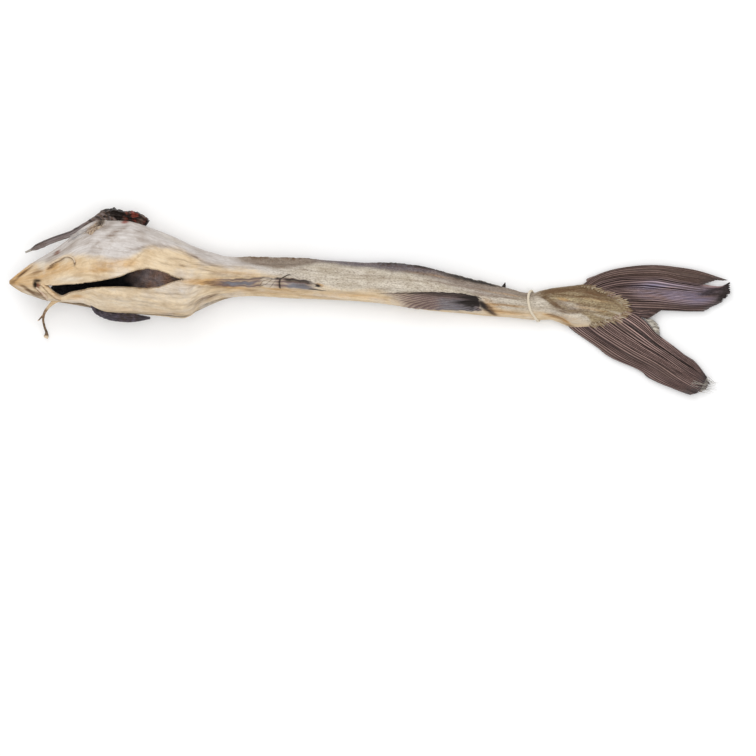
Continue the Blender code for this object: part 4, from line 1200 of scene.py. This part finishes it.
def fin_surface(x, turn, share, edge, thick, seed):
    """Top and bottom of a fin dried on the wrinkled skin: thick inside, buried at its borders and ends."""
    place = skin(x, turn)
    height, crease = relief(x, place[..., 1], turn)
    rise = ease(edge * 8) * window(share, 0, 1, 0.06)
    lift = thick * rise * (1 + 0.25 * drift(share * 22, edge * 3, seed)) - 0.45 * (1 - rise) + 0.12
    return skin(x, turn, height + lift), skin(x, turn, 0 * height - FIN_DEPTH), crease


def press_fin(name, x, turn, share, across, masks, thick, seed):
    """Make one pressed fin from its grid, its masks and its thickness."""
    edge = inset(across)
    top, bottom, crease = fin_surface(x, turn, share, edge, thick, seed)
    if name.startswith("anal"):
        masks["crease"] = crease * (1 - ease(edge * 4))
    build(name, web_sheets(top, bottom, masks, flow_of(x, turn)), ["fish_skin"])


def flat_fin_grid(borders):
    """Grid over a fin between two borders: x, the place across them from 0 at the upper one, and turns."""
    upper, lower = borders
    share = np.linspace(0, 1, 300)[:, None]
    across = np.linspace(0, 1, 44)[None, :]
    x = upper[0][0] + (upper[-1][0] - upper[0][0]) * share
    shaky = 0.3 * waver(x / 3.1, 71)
    y = (smooth(upper, x) + shaky) * (1 - across) + (smooth(lower, x) + shaky) * across
    x, share, across = np.broadcast_arrays(x, share, across)
    return x, y, turn_at(x, y), share, across


def front_fin_masks(x, y, across, masks):
    """Colours of the front anal fin: orange root, mauve blade, pale torn ridge, black crack, grey end."""
    shift = across + 0.10 * waver(x / 9, 71) + 0.05 * drift(x / 3.5, across * 2, 70)
    wave = ripple(shift * 4.2 + 0.35 * drift(x / 17, across * 3, 72))
    fade = ease((np.minimum(shift, 1 - shift) - 0.02) * 6)
    blade = window(x, -137, -41, 16) * fade
    masks["amber"] = np.maximum(masks["amber"], window(x, -158, -112, 18) * fade * 0.9)
    masks["brown"] = np.maximum(masks["brown"],
                                window(x, -144, -108, 14) * ease((shift - 0.3) * 4) * fade * 0.9)
    masks["mauve"] = blade * (0.5 + 0.5 * wave) * (1 - 0.6 * window(x, -94, -77, 5))
    masks["slate"] = blade * np.maximum(window(x, -128, -92, 12) * window(shift, 0.33, 0.74, 0.15),
                                        window(x, -74, -40, 10) * window(shift, 0.42, 0.97, 0.14)) * 0.95
    creased = np.abs(drift(x / 4.6 + shift * 2, shift * 3.2 + x / 9, 73))
    torn = window(x, -95, -76.0, 6) * fade * ease(0.25 + 2.2 * creased)
    streak = bell((shift - 0.50) / 0.05) * window(x, -126, -84, 10)
    streak = np.maximum(streak, bell((shift - 0.72) / 0.05) * window(x, -72, -44, 8) * 0.7)
    masks["pale"] = np.maximum(masks["pale"] * (1 - blade), np.maximum(0.9 * torn, 0.8 * streak))
    masks["taupe"] = masks["taupe"] * (1 - blade)
    crack = bell((x + 76.0 + 0.5 * waver(across * 4, 69)) / 0.8) * window(across, 0.0, 1.0, 0.08)
    blob = np.exp(-((x + 77.8) / 2.4) ** 2 - ((across - 0.10) / 0.11) ** 2)
    band = 0.8 * window(x, -75, -48, 5) * window(shift, 0.06, 0.46, 0.14)
    flecks = window(x, -54, -40, 4) * window(shift, 0.18, 0.55, 0.1)
    flecks = flecks * ease(0.6 + 1.2 * drift(x / 3, shift * 5, 74))
    tail = bell((across - 0.86) / 0.07) * window(x, -54, -35.5, 4)
    gaps = window(x, -95, -77, 5) * ease((0.16 - creased) * 9) * fade * 0.8
    upper = 0.5 * bell((shift - 0.10) / 0.06) * window(x, -128, -78, 10)
    masks["dark"] = np.maximum.reduce([masks["dark"], crack, blob, band, flecks, tail, gaps, upper])
    masks["grey"] = masks["grey"] * (1 - window(x, -150, -60, 10) * 0.4)
    return wave * blade


def rear_fin_masks(x, y, across, masks):
    """Colours of the rear anal fin: fine light rays that sweep back, mauve to slate, and a black end."""
    run = np.clip(x - 8, 0, 62)
    sweep = 0.34 * run - 0.30 / 124 * run ** 2
    rays = ripple((y - sweep) / 1.65 + 0.15 * drift(x / 14, y / 4, 76))
    far = 85.5 + 7 * np.minimum(2.2 * np.sqrt(across), 1) + 1.6 * waver(across * 7, 79)
    fade = ease((1 - across) * 7) * ease((far - x) / 3)
    blade = ease((x - 2 - 16 * across) / 18) * fade
    dark_rays = 1 - ease((rays - 0.25) * 1.7)
    masks["mauve"] = blade * np.clip(0.45 + 0.35 * dark_rays + 0.45 * ease((x - 22) / 26), 0, 1)
    light = window(x, 4, 72, 10) * ease((rays - 0.60) * 3.2) * fade * ease((x - 4 - 12 * across) / 10)
    masks["ray_light"] = light * (0.40 - 0.22 * ease((x - 42) / 20))
    slate = fade * ease((x - 50) / 12) * (1 - ease((x - 84) / 8)) * ease((across - 0.22) * 4)
    masks["slate"] = slate * (0.55 + 0.35 * rays)
    top = ease((x - 36) / 25) * (1 - ease((across - 0.14) / 0.22)) * fade * 0.75
    line = bell((across - 0.06) / 0.05) * ease((x + 2) / 12)
    line = line * (0.5 + 0.45 * ease((x - 5) / 30)) * ease((94 - x) / 4)
    black = ease((x - 66 - 7 * waver(y / 1.2, 77)) / 16)
    black = black * (1 - ease((across - 0.60 + 0.1 * drift(x / 3, y, 75)) * 4)) * fade
    curved = ease((x - 72) / 6) * ease((across - 0.66) * 9) * ease((93 - x) / 4)
    curve_rays = ripple((y - 0.014 * (x - 72) ** 2) / 1.7)
    masks["pale"] = np.maximum(masks["pale"] * (1 - blade), curved * ease((curve_rays - 0.45) * 2.5) * 0.8)
    masks["taupe"] = masks["taupe"] * (1 - blade)
    ends = curved * ease((0.42 - curve_rays) * 3.5) * 0.9
    masks["dark"] = np.maximum.reduce([masks["dark"], top, line, black, ends])
    masks["grey"] = masks["grey"] * (1 - 0.5 * blade)
    return rays * blade


def breast_base_masks(x, y, across, masks):
    """Colours of the left breast fin's base: grey, then slanting yellow, brown and black folds."""
    stripe = 0.9 * x - 0.45 * y + 0.9 * drift(x / 3, y / 3, 101)
    fade = ease(across * 6) * ease((1 - across) * 6)
    masks["grey"] = np.ones_like(x)
    masks["slate"] = 0.55 * (1 - ease((stripe + 238) / 3)) * (0.7 + 0.3 * drift(x / 6, y / 1.2, 102))
    folds = 0.5 + 0.5 * np.cos(2 * math.pi * (stripe + 236.4) / 2.3)
    zone = window(stripe, -241.5, -225.5, 4.5)
    masks["taupe"] = 0.5 * fade
    masks["amber"] = np.maximum(masks["amber"], zone * ease(folds * 1.6 - 0.3) * 0.3)
    browned = 0.22 + ease(1.5 - folds * 1.7) * (0.36 + 0.2 * drift(x, y, 106))
    masks["brown"] = np.maximum(masks["brown"], zone * browned)
    masks["grey"] = 1 - 0.5 * zone
    black = bell((stripe + 232.2) / 0.8) * ease((y - 57.5) / 3)
    lower = bell((across - 0.90) / 0.07) * window(x, -251, -234, 3)
    line = bell((across - 0.72) / 0.08) * window(x, -250, -233, 3)
    masks["pale"] = np.maximum(0.5 * lower, 0.3 * window(x, -247, -236, 4) * ease(drift(x / 5, y, 103) + 0.3))
    masks["dark"] = np.maximum.reduce([masks["dark"], 0.35 * line, 0.5 * black,
                                       0.3 * zone * ease(0.12 - folds)])
    return folds * zone


FLAT_FIN_KINDS = {      # its colours, thickness, height of its ribs, seed
    "anal_fin_front": (front_fin_masks, 0.7, 0.45, 70),
    "anal_fin_rear": (rear_fin_masks, 0.7, 0.45, 71),
    "breast_fin_base": (breast_base_masks, 0.8, 1.0, 104),
}


def back_fin_masks(name, x, turn, masks):
    """Colours of a folded back fin: mottled brown, or bluish black along the spine's line."""
    slant = turn * 11
    mottle = 0.6 * drift((x + slant) / 2.3, (slant - 0.6 * x) / 1.7, 78)
    mottle = mottle + 0.6 * drift((x - slant) / 5, (slant + x) / 3.4, 79)
    mottle = ease(0.5 + 1.3 * mottle)
    dark_line = bell((np.degrees(turn) - 3) / 13)
    masks["back"] = np.ones_like(x)
    if name == "dorsal_fin_third":
        masks["mauve"] = 0.85 * (1 - ease((x - 40) / 30)) * (0.6 + 0.4 * mottle)
        masks["slate"] = 0.5 * window(x, -6, 66, 16) * (1 - mottle)
        masks["taupe"] = np.maximum(masks["taupe"], 0.6 * ease((x - 30) / 20))
        from_line = np.degrees(turn) - 22
        black = np.clip(1.3 * bell(from_line / np.where(from_line > 0, 22, 13)), 0, 1)
        black = black * ease((x - 44) / 26) * (1 - 0.35 * (1 - mottle) * (from_line < 0))
        masks["dark"] = np.maximum(0.85 * dark_line * ease((x + 8) / 20) * (0.5 + 0.5 * mottle), black)
    else:
        masks["brown"] = 0.75 * mottle
        masks["dark"] = 0.6 * dark_line * (0.35 + 0.65 * mottle)
    masks["grey"] = np.ones_like(x)
    return mottle


class STOCKFISH_OT_pressed_fins(Operator):
    """Make the two anal fins and the three back fins, dried flat on the skin"""
    bl_idname = "stockfish.pressed_fins"
    bl_label = "Pressed fins"

    def execute(self, context):
        shared_materials()
        for name, (colour_fin, thin, rib_height, seed) in FLAT_FIN_KINDS.items():
            x, y, turn, share, across = flat_fin_grid(FLAT_FINS[name])
            masks = skin_masks(x, y, turn)
            ribs = colour_fin(x, y, across, masks)
            press_fin(name, x, turn, share, across, masks, thin + rib_height * ribs, seed)
        for number, name in enumerate(BACK_FINS):
            first, last, front, back = BACK_FINS[name]
            share, across = np.broadcast_arrays(np.linspace(0, 1, 240)[:, None],
                                                np.linspace(0, 1, 30)[None, :])
            low = front[0] + (back[0] - front[0]) * ease(share)
            high = front[1] + (back[1] - front[1]) * ease(share) + 5 * waver(share * 18, 81 + number)
            taper = 0.3 + 0.7 * window(share, 0, 1, 0.35)
            turn = np.radians((low + high) / 2 + (high - low) * (across - 0.5) * taper)
            x = first + (last - first) * share
            plain = skin_masks(x, skin(x, turn)[..., 1], turn)
            masks = dict(plain)
            mottle = back_fin_masks(name, x, turn, masks)
            blend = window(share, 0, 1, 0.14) * ease(inset(across) * 5)
            masks = {layer: plain.get(layer, 0) * (1 - blend) + masks[layer] * blend for layer in masks}
            thick = (0.4 + 0.4 * mottle) * window(share, 0, 1, 0.2)
            press_fin(name, x, turn, share, across, masks, thick, 90 + number)
        spike = blade_grid("dorsal_spike", 24, 12, 92, 0, 0.1)[0]
        hair = blade_grid("fin_hair", 24, 8, 93, 0, 0.1)[0]
        build("fin_spikes", [sheet(spike, {"dark": 1.0}), sheet(hair, {"dark": 0.9})], ["fish_skin"])
        return {"FINISHED"}


# --- Blades, strands and lumps
BLADES = {      # thickness, then (x, y, height, half width)
    "shoulder": (12.0, [(-227, 67.5, 28, 3.5), (-221, 70, 28.5, 5.6), (-213, 71, 28.5, 5.8),
                        (-205, 70, 28, 4.8), (-197, 69, 27.5, 5.4), (-190, 66.5, 27, 4.8),
                        (-186.5, 64, 26, 3)]),
    "backbone": (9.0, [(-238, 25, 10.5, 4.5), (-256, 24, 10.5, 5), (-263, 23.5, 11, 4)]),
    "pectoral_left": (2.4, [(-211, 62, 34, 5), (-222, 68, 34, 5.4), (-230, 64.3, 33, 4.8),
                            (-240, 60.0, 32, 3.5), (-251, 55.2, 31, 2.5), (-265, 50.5, 28, 2.5),
                            (-276, 45.8, 27, 2.6), (-281.0, 43.5, 26.5, 1.6), (-282.4, 42.8, 26.5, 1.1),
                            (-287.6, 40.5, 26, 0.8)]),
    "throat_curl": (1.8, [(-266, 29.0, 0.2, 0.7), (-258, 33.6, 0.8, 1.3), (-251.5, 36.6, 1.1, 1.2),
                          (-247, 35.4, 1.1, 1.0), (-244.6, 32.0, 0.8, 0.8), (-244.4, 29.5, 0.1, 0.4)]),
    "ligament": (2.2, [(-273, 13.5, 0.0, 0.9), (-269, 10.3, 0.6, 1.5), (-264.5, 5.9, 0.8, 1.7),
                       (-260, 2.2, 0.6, 1.5), (-256.5, 0.8, 0.0, 0.9)]),
    "ligament_pink": (2.0, [(-277.5, 10.8, 0.0, 0.8), (-273.5, 7.6, 0.5, 1.4), (-270, 3.8, 0.7, 1.6),
                            (-267.6, 0.4, 0.3, 1.2)]),
    "pectoral_right": (2.0, [(-233, -2, 30, 1.2), (-227, -8.5, 28, 3.0), (-215, -12.5, 26, 3.8),
                             (-200, -14, 25, 3.6), (-184, -14, 24, 1.0)]),
    "pelvic_strand": (2.0, [(-257, 2.5, 38, 2.0), (-263, -0.6, 35, 1.9), (-268.5, -5.4, 29, 1.3),
                            (-272.6, -11, 22, 1.1), (-273.6, -16, 17, 0.95), (-272.7, -22, 12, 0.95),
                            (-271.6, -26, 9, 1.2), (-271.8, -29, 8.4, 1.9), (-272.4, -30.5, 8, 1.6)]),
    "pelvic_branch": (1.6, [(-272.8, -11, 21, 0.9), (-275.4, -13.8, 19, 0.7), (-278.2, -16.4, 17, 0.35)]),
    "dorsal_spike": (1.6, [(108.6, 9.0, 11.6, 2.2), (110.5, 12.4, 11.6, 1.5), (111.6, 15.8, 11.6, 0.35)]),
    "fin_hair": (0.7, [(-75.2, 18.4, 0.8, 0.6), (-71, 20.7, 0.5, 0.45), (-68.5, 21.9, 0.4, 0.4),
                       (-66.5, 21.4, 0.2, 0.2)]),
}
ON_SKIN = ("throat_curl", "ligament", "ligament_pink", "fin_hair")


def blade_grid(name, stations, sides, seed, pleats=0, rough=0.0, pleat_depth=0.0):
    """A flattened ring carried along a smooth line, roughened by noise and folded lengthwise into pleats."""
    thickness, line = BLADES[name]
    share = np.linspace(0, 1, stations)
    spine = along(line, share)
    if name in ON_SKIN:
        turn = turn_at(spine[:, 0], spine[:, 1])
        wrinkles = relief(spine[:, 0], spine[:, 1], turn)[0]
        spine[:, 2] += skin(spine[:, 0], turn, wrinkles)[:, 2]
    way = np.gradient(spine[:, :2], axis=0)
    way /= np.linalg.norm(way, axis=1, keepdims=True)
    angle = np.linspace(0, 2 * math.pi, sides + 1)
    around = angle[None, :] / (2 * math.pi)
    bumps = 1 + rough * (drift(share[:, None] * stations / 6, around * 9, seed, 9)
                         + 0.5 * drift(share[:, None] * stations / 2.6, around * 19, seed + 1, 19))
    side = spine[:, None, 3] * np.cos(angle) * bumps
    half = np.minimum(spine[:, None, 3], thickness / 2)
    height = half * np.sign(np.sin(angle)) * np.abs(np.sin(angle)) ** 0.8 * bumps
    if pleats:
        height = height + pleat_depth * np.cos(pleats * math.pi * np.cos(angle)) * spine[:, None, 3] / 5
    grid = np.stack([spine[:, None, 0] - way[:, None, 1] * side, spine[:, None, 1] + way[:, None, 0] * side,
                     spine[:, None, 2] + height], axis=-1)
    ends = [np.broadcast_to(grid[end].mean(axis=0)[None, None], (1, sides + 1, 3)) for end in (0, -1)]
    share, angle = np.broadcast_arrays(share[:, None], angle[None, :])
    padded = [np.concatenate([value[:1], value, value[-1:]]) for value in (share, angle)]
    return np.concatenate([ends[0], grid, ends[1]]), *padded


def left_blade_masks(share, across, ridge, mottle):
    """Colours of the left breast fin: striped base, mottled grey blade with a dark edge, pale tip."""
    base = 1 - ease((share - 0.26) / 0.08)
    edge_line = bell((across + 0.72) / 0.34) * window(share, 0.30, 0.95, 0.08)
    edge_line = edge_line * (0.6 + 0.4 * mottle)
    warm_stripes = ease(0.5 + 0.9 * np.cos(2 * math.pi * (share * 26 + across * 0.8)))
    dark_stripes = ease(-0.2 + 1.2 * np.cos(2 * math.pi * (share * 13 + across * 0.5 + 0.2)))
    return {"ray": (0.5 + 0.5 * ridge) * (0.7 + 0.3 * mottle) * (1 - 0.45 * base), "blue": 0.15,
            "tip": 0.9 * ease((share - 0.90) / 0.02),
            "warm": np.maximum(0.5 * window(share, 0.55, 0.9, 0.1) * (1 - mottle), base * warm_stripes),
            "gap": np.maximum.reduce([0.35 * ease(0.4 - ridge), 0.95 * edge_line, 0.8 * base * dark_stripes])}


def right_blade_masks(share, across, ridge, mottle):
    """Colours of the right breast fin: near black, partly its own colour and partly painted shade of the gap
    under the lower flap, with a few dim rays.
    """
    return {"ray": 0.5 * ridge * mottle, "blue": 1.0, "tip": 0.15,
            "warm": 0.5 * window(share, 0.55, 0.9, 0.1) * (1 - mottle), "gap": 0.35 + 0.3 * ridge}


class STOCKFISH_OT_blades(Operator):
    """Make the pectoral fins, the dark lump at the shoulder, the pelvic strands and the backbone's stub"""
    bl_idname = "stockfish.blades"
    bl_label = "Strands and lumps"

    def execute(self, context):
        shared_materials()
        for name, pleats in (("pectoral_left", 3), ("pectoral_right", 4)):
            grid, share, angle = blade_grid(name, 170, 60, 81, pleats, 0.07, 0.5)
            across = np.cos(angle)
            flow = np.stack([share * 90, across * 9, np.sin(angle) * 3], axis=-1)
            ridge = 0.5 + 0.5 * np.cos(8 * math.pi * across + 0.6 + 2 * waver(share * 5, 82))
            mottle = ease(0.4 + drift(share * 24, across * 2.2, 80))
            left = name == "pectoral_left"
            masks = (left_blade_masks if left else right_blade_masks)(share, across, ridge, mottle)
            build(name, [sheet(grid, masks, flow)], ["grey_blade" if left else "dark_fin"])
        grid, share, angle = blade_grid("shoulder", 150, 90, 84, 3, 0.20, 1.3)
        noise = 0.7 * drift(share * 15 + angle, angle * 2 - share * 9, 85)
        noise = noise + 0.5 * drift(share * 34 - 2 * angle, angle * 4 + share * 21, 90)
        red = window(share, 0.44, 0.80, 0.12) * ease(0.4 + 1.3 * noise)
        red = red + 0.35 * window(share, 0.78, 0.95, 0.05)
        warm = drift(share * 12, angle * 2, 86)
        crust = drift(share * 9 + angle, angle * 1.7 - share * 6, 89)
        ash = drift(share * 21 - 2 * angle, angle * 3 + share * 13, 88)
        masks = {"ray": red, "warm": np.maximum(0.5 * ease(warm), window(share, 0.70, 0.92, 0.08) * 0.8),
                 "gap": ease(0.1 + 1.2 * crust) * (1 - red), "blue": 0.0,
                 "tip": 0.8 * window(share, 0.0, 0.3, 0.1) * ease(0.3 + ash)}
        build("shoulder", [sheet(grid, masks)], ["dried_blood"])
        strands = []
        for name, sides in (("pelvic_strand", 14), ("pelvic_branch", 10), ("throat_curl", 12),
                            ("ligament", 12), ("ligament_pink", 12)):
            grid, share, angle = blade_grid(name, 60, sides, 87, 0, 0.12)
            if name in ON_SKIN:
                # On the strands that lie on the skin, the side away from the light is painted brown as shade
                # and the other side pale as a highlight.
                under = 1 - ease((np.cos(angle) + 0.75) * 2)
                end = {"throat_curl": 0.8 * ease((share - 0.75) / 0.2)}.get(name, 0 * share)
                amber = {"ligament": 0.5, "ligament_pink": 0.15}.get(name, 0.25)
                masks = {"pale": (0.4 if name == "ligament" else 0.7) * (1 - under), "amber": amber,
                         "red": 0.14 if name == "ligament_pink" else 0.0,
                         "brown": np.maximum(0.8 * under, end)}
            else:
                masks = {"amber": 0.3, "brown": 0.9 * window(share, 0.2, 0.93, 0.15),
                         "dark": 0.5 * window(share, 0.45, 0.9, 0.15),
                         "pale": 0.4 * ease((share - 0.9) / 0.1)}
            strands.append(sheet(grid, masks))
        build("pelvic_strands", strands, ["fish_skin"])
        grid, share, angle = blade_grid("backbone", 50, 30, 88, 0, 0.14)
        marrow = np.zeros_like(share)
        marrow[-1] = 1.0
        bone = {"pale": 0.5, "brown": 0.4 + 0.5 * marrow, "dark": marrow}
        build("backbone", [sheet(grid, bone)], ["fish_skin"])
        return {"FINISHED"}


# --- Twine
class StockfishTwine(PropertyGroup):
    radius: FloatProperty(name="Radius", description="Radius of the twine, mm", default=1.1, min=0.5, max=3.0)
    plies: IntProperty(name="Plies", description="Strands twisted together", default=3, min=2, max=4)
    twists: IntProperty(name="Twists", description="Whole turns of a ply on the way round the tail",
                        default=13)


PLY_PLACE = 0.46        # how far out a ply's middle lies, as a share of the cord's radius
PLY_RADIUS = 0.56       # a ply's own radius, as a share of the cord's
KNOT_TURN = math.radians(225)
KNOT_RADIUS = 2.7
KNOT_TWINE = 0.75       # the twine is pulled thinner in its knot and ends
KNOT_SPREAD = (0.75, 0.9)
END_LENGTH = 5.5


def round_wrist(turn, radius):
    """Middle of a cord of that radius on the twine's slanting line round the wrist, just off the skin."""
    cosine, sine, double = TWINE_SLANT
    x = TWINE_X + cosine * np.cos(turn) + sine * np.sin(turn) + double * np.cos(2 * turn)
    return skin(x, turn, radius + TWINE_GAP)


def ply_sheets(line, radius, plies, twists, closed):
    """Plies wound round a line: tubes whose centres circle it and which each fill their share of the cord."""
    direction = (np.roll(line, -1, 0) - np.roll(line, 1, 0)) if closed else np.gradient(line, axis=0)
    direction /= np.linalg.norm(direction, axis=1, keepdims=True)
    side = np.cross(direction, [1.0, 0.0, 0.0])
    side /= np.linalg.norm(side, axis=1, keepdims=True)
    up = np.cross(direction, side)
    steps = len(line) if closed else len(line) - 1
    phase = np.arange(len(line)) / steps * twists * 2 * math.pi
    sheets = []
    for ply in range(plies):
        angle = phase + ply * 2 * math.pi / plies
        centre = line + (side * np.cos(angle)[:, None] + up * np.sin(angle)[:, None]) * radius * PLY_PLACE
        tube = tube_sheet(centre, np.full(len(line), radius * PLY_RADIUS), 10, closed=closed)
        flow = np.stack(np.broadcast_arrays(np.arange(len(tube))[:, None] * 0.6,
                                            np.arange(11)[None, :] * 0.4 + ply, 0.0), axis=-1)
        sheets.append(sheet(tube, {"hollow": 0.25}, flow))
    return sheets


class STOCKFISH_OT_twine(Operator):
    """Make the loop of twine round the wrist of the tail, with its knot and two cut ends"""
    bl_idname = "stockfish.twine"
    bl_label = "Twine"

    def execute(self, context):
        shared_materials()
        twine = context.scene.stockfish_twine
        turn = np.linspace(0, 2 * math.pi, 300, endpoint=False)
        loop = round_wrist(turn, twine.radius)
        sheets = ply_sheets(loop, twine.radius, twine.plies, twine.twists, True)
        middle = round_wrist(np.array(KNOT_TURN), KNOT_RADIUS)
        t = np.linspace(0, 2 * math.pi, 90, endpoint=False)
        wide, deep = KNOT_SPREAD
        knot = np.stack([(np.sin(t) + 1.6 * np.sin(2 * t)) * wide, -np.sin(3 * t) * deep,
                         (np.cos(t) - 1.6 * np.cos(2 * t)) * wide], axis=-1) + middle
        sheets += ply_sheets(knot, twine.radius * KNOT_TWINE, twine.plies, 5, True)
        for way in (1, -1):
            step = np.linspace(0, 1, 40)
            tail = np.stack([middle[0] + way * END_LENGTH * step, middle[1] - 1.2 * np.sin(2.2 * step) + 0.8,
                             np.maximum(middle[2] - way * 1.5 * step - 3.0 * step ** 2, 1.2)], axis=-1)
            sheets += ply_sheets(tail, twine.radius * KNOT_TWINE, twine.plies, 3, False)
        build("twine_loop", sheets, ["cotton_twine"], node="twine")
        return {"FINISHED"}


# --- Stage
SENSOR_WIDTH = 36.0
FISH_HEIGHT = 0.03      # metres: the height at which the view's width is measured


class StockfishStage(PropertyGroup):
    view_width: FloatProperty(name="View width", description="Width that the camera sees at the fish",
                              unit="LENGTH", default=0.6275)
    view_x: FloatProperty(name="View x", description="Where the camera looks, along the fish",
                          unit="LENGTH", default=0.0054)
    view_y: FloatProperty(name="View y", description="Where the camera looks, across the fish",
                          unit="LENGTH", default=-0.0639)
    distance: FloatProperty(name="Camera distance", description="Height of the camera above the fish",
                            unit="LENGTH", default=3.2)
    fill: FloatProperty(name="Fill light", description="Strength of the light from all round", default=0.74)
    key: FloatProperty(name="Key light", description="Power of the main soft light, W", default=5.0)
    top: FloatProperty(name="Top light", description="Power of the soft light straight above, W",
                       default=18.0)


class STOCKFISH_OT_stage(Operator):
    """Make the pale floor, the soft lights and the camera straight above"""
    bl_idname = "stockfish.stage"
    bl_label = "Stage"

    def execute(self, context):
        scene, stage = context.scene, context.scene.stockfish_stage
        n, shader = new_material("floor")
        for value, socket in ((scene.stockfish_colours.floor, "Base Color"), (0.9, "Roughness"),
                              (0.1, "Specular IOR Level")):
            n.put(value, shader.inputs[socket])
        mesh = bpy.data.meshes.new("floor")
        reach = 4.0
        mesh.from_pydata([(-reach, -reach, 0), (reach, -reach, 0), (reach, reach, 0), (-reach, reach, 0)], [],
                         [(0, 1, 2, 3)])
        floor = bpy.data.objects.new("floor", mesh)
        mesh.materials.append(bpy.data.materials["floor"])
        scene.collection.objects.link(floor)
        for name, place, size, power in (("key_light", (-0.35, 0.85, 1.4), 0.9, stage.key),
                                         ("top_light", (0.0, -0.05, 2.4), 1.6, stage.top)):
            light = bpy.data.objects.new(name, bpy.data.lights.new(name, "AREA"))
            light.data.shape = "DISK"
            light.data.size = size
            light.data.energy = power
            light.location = place
            light.rotation_euler = (-Vector(place)).to_track_quat("-Z", "Y").to_euler()
            scene.collection.objects.link(light)
        world = bpy.data.worlds.new("soft_daylight")
        world.use_nodes = True
        sky = world.node_tree.nodes["Background"].inputs
        sky["Color"].default_value = (1.0, 1.0, 1.0, 1.0)
        sky["Strength"].default_value = stage.fill
        scene.world = world
        scene.view_settings.view_transform = "Standard"
        camera = bpy.data.objects.new("camera", bpy.data.cameras.new("camera"))
        camera.data.sensor_width = SENSOR_WIDTH
        camera.data.lens = SENSOR_WIDTH * stage.distance / stage.view_width
        camera.data.clip_end = 20.0
        camera.location = (stage.view_x, stage.view_y, stage.distance + FISH_HEIGHT)
        scene.collection.objects.link(camera)
        scene.camera = camera
        return {"FINISHED"}


# --- Panel and start
class STOCKFISH_PT_panel(Panel):
    """Lists the makers of the stockfish's pieces and their sizes and colours"""
    bl_idname = "STOCKFISH_PT_panel"
    bl_label = "Dried stockfish"
    bl_space_type = "VIEW_3D"
    bl_region_type = "UI"
    bl_category = "Stockfish"

    def draw(self, context):
        layout = self.layout
        for maker in MAKERS:
            layout.operator(maker.bl_idname)
        for settings in (context.scene.stockfish_twine, context.scene.stockfish_stage,
                         context.scene.stockfish_colours):
            box = layout.box()
            for key in settings.__annotations__:
                box.prop(settings, key)


MAKERS = (STOCKFISH_OT_stage, STOCKFISH_OT_body, STOCKFISH_OT_tail, STOCKFISH_OT_pressed_fins,
          STOCKFISH_OT_blades, STOCKFISH_OT_twine)
SETTINGS = {"stockfish_colours": StockfishColours, "stockfish_twine": StockfishTwine,
            "stockfish_stage": StockfishStage}


def register():
    for kind in (*SETTINGS.values(), *MAKERS, STOCKFISH_PT_panel):
        bpy.utils.register_class(kind)
    for name, kind in SETTINGS.items():
        setattr(bpy.types.Scene, name, PointerProperty(type=kind))


def unregister():
    for name in SETTINGS:
        delattr(bpy.types.Scene, name)
    for kind in (STOCKFISH_PT_panel, *reversed(MAKERS), *SETTINGS.values()):
        bpy.utils.unregister_class(kind)


def main():
    register()
    for maker in MAKERS:
        group, name = maker.bl_idname.split(".")
        getattr(getattr(bpy.ops, group), name)()


if __name__ == "__main__":
    main()
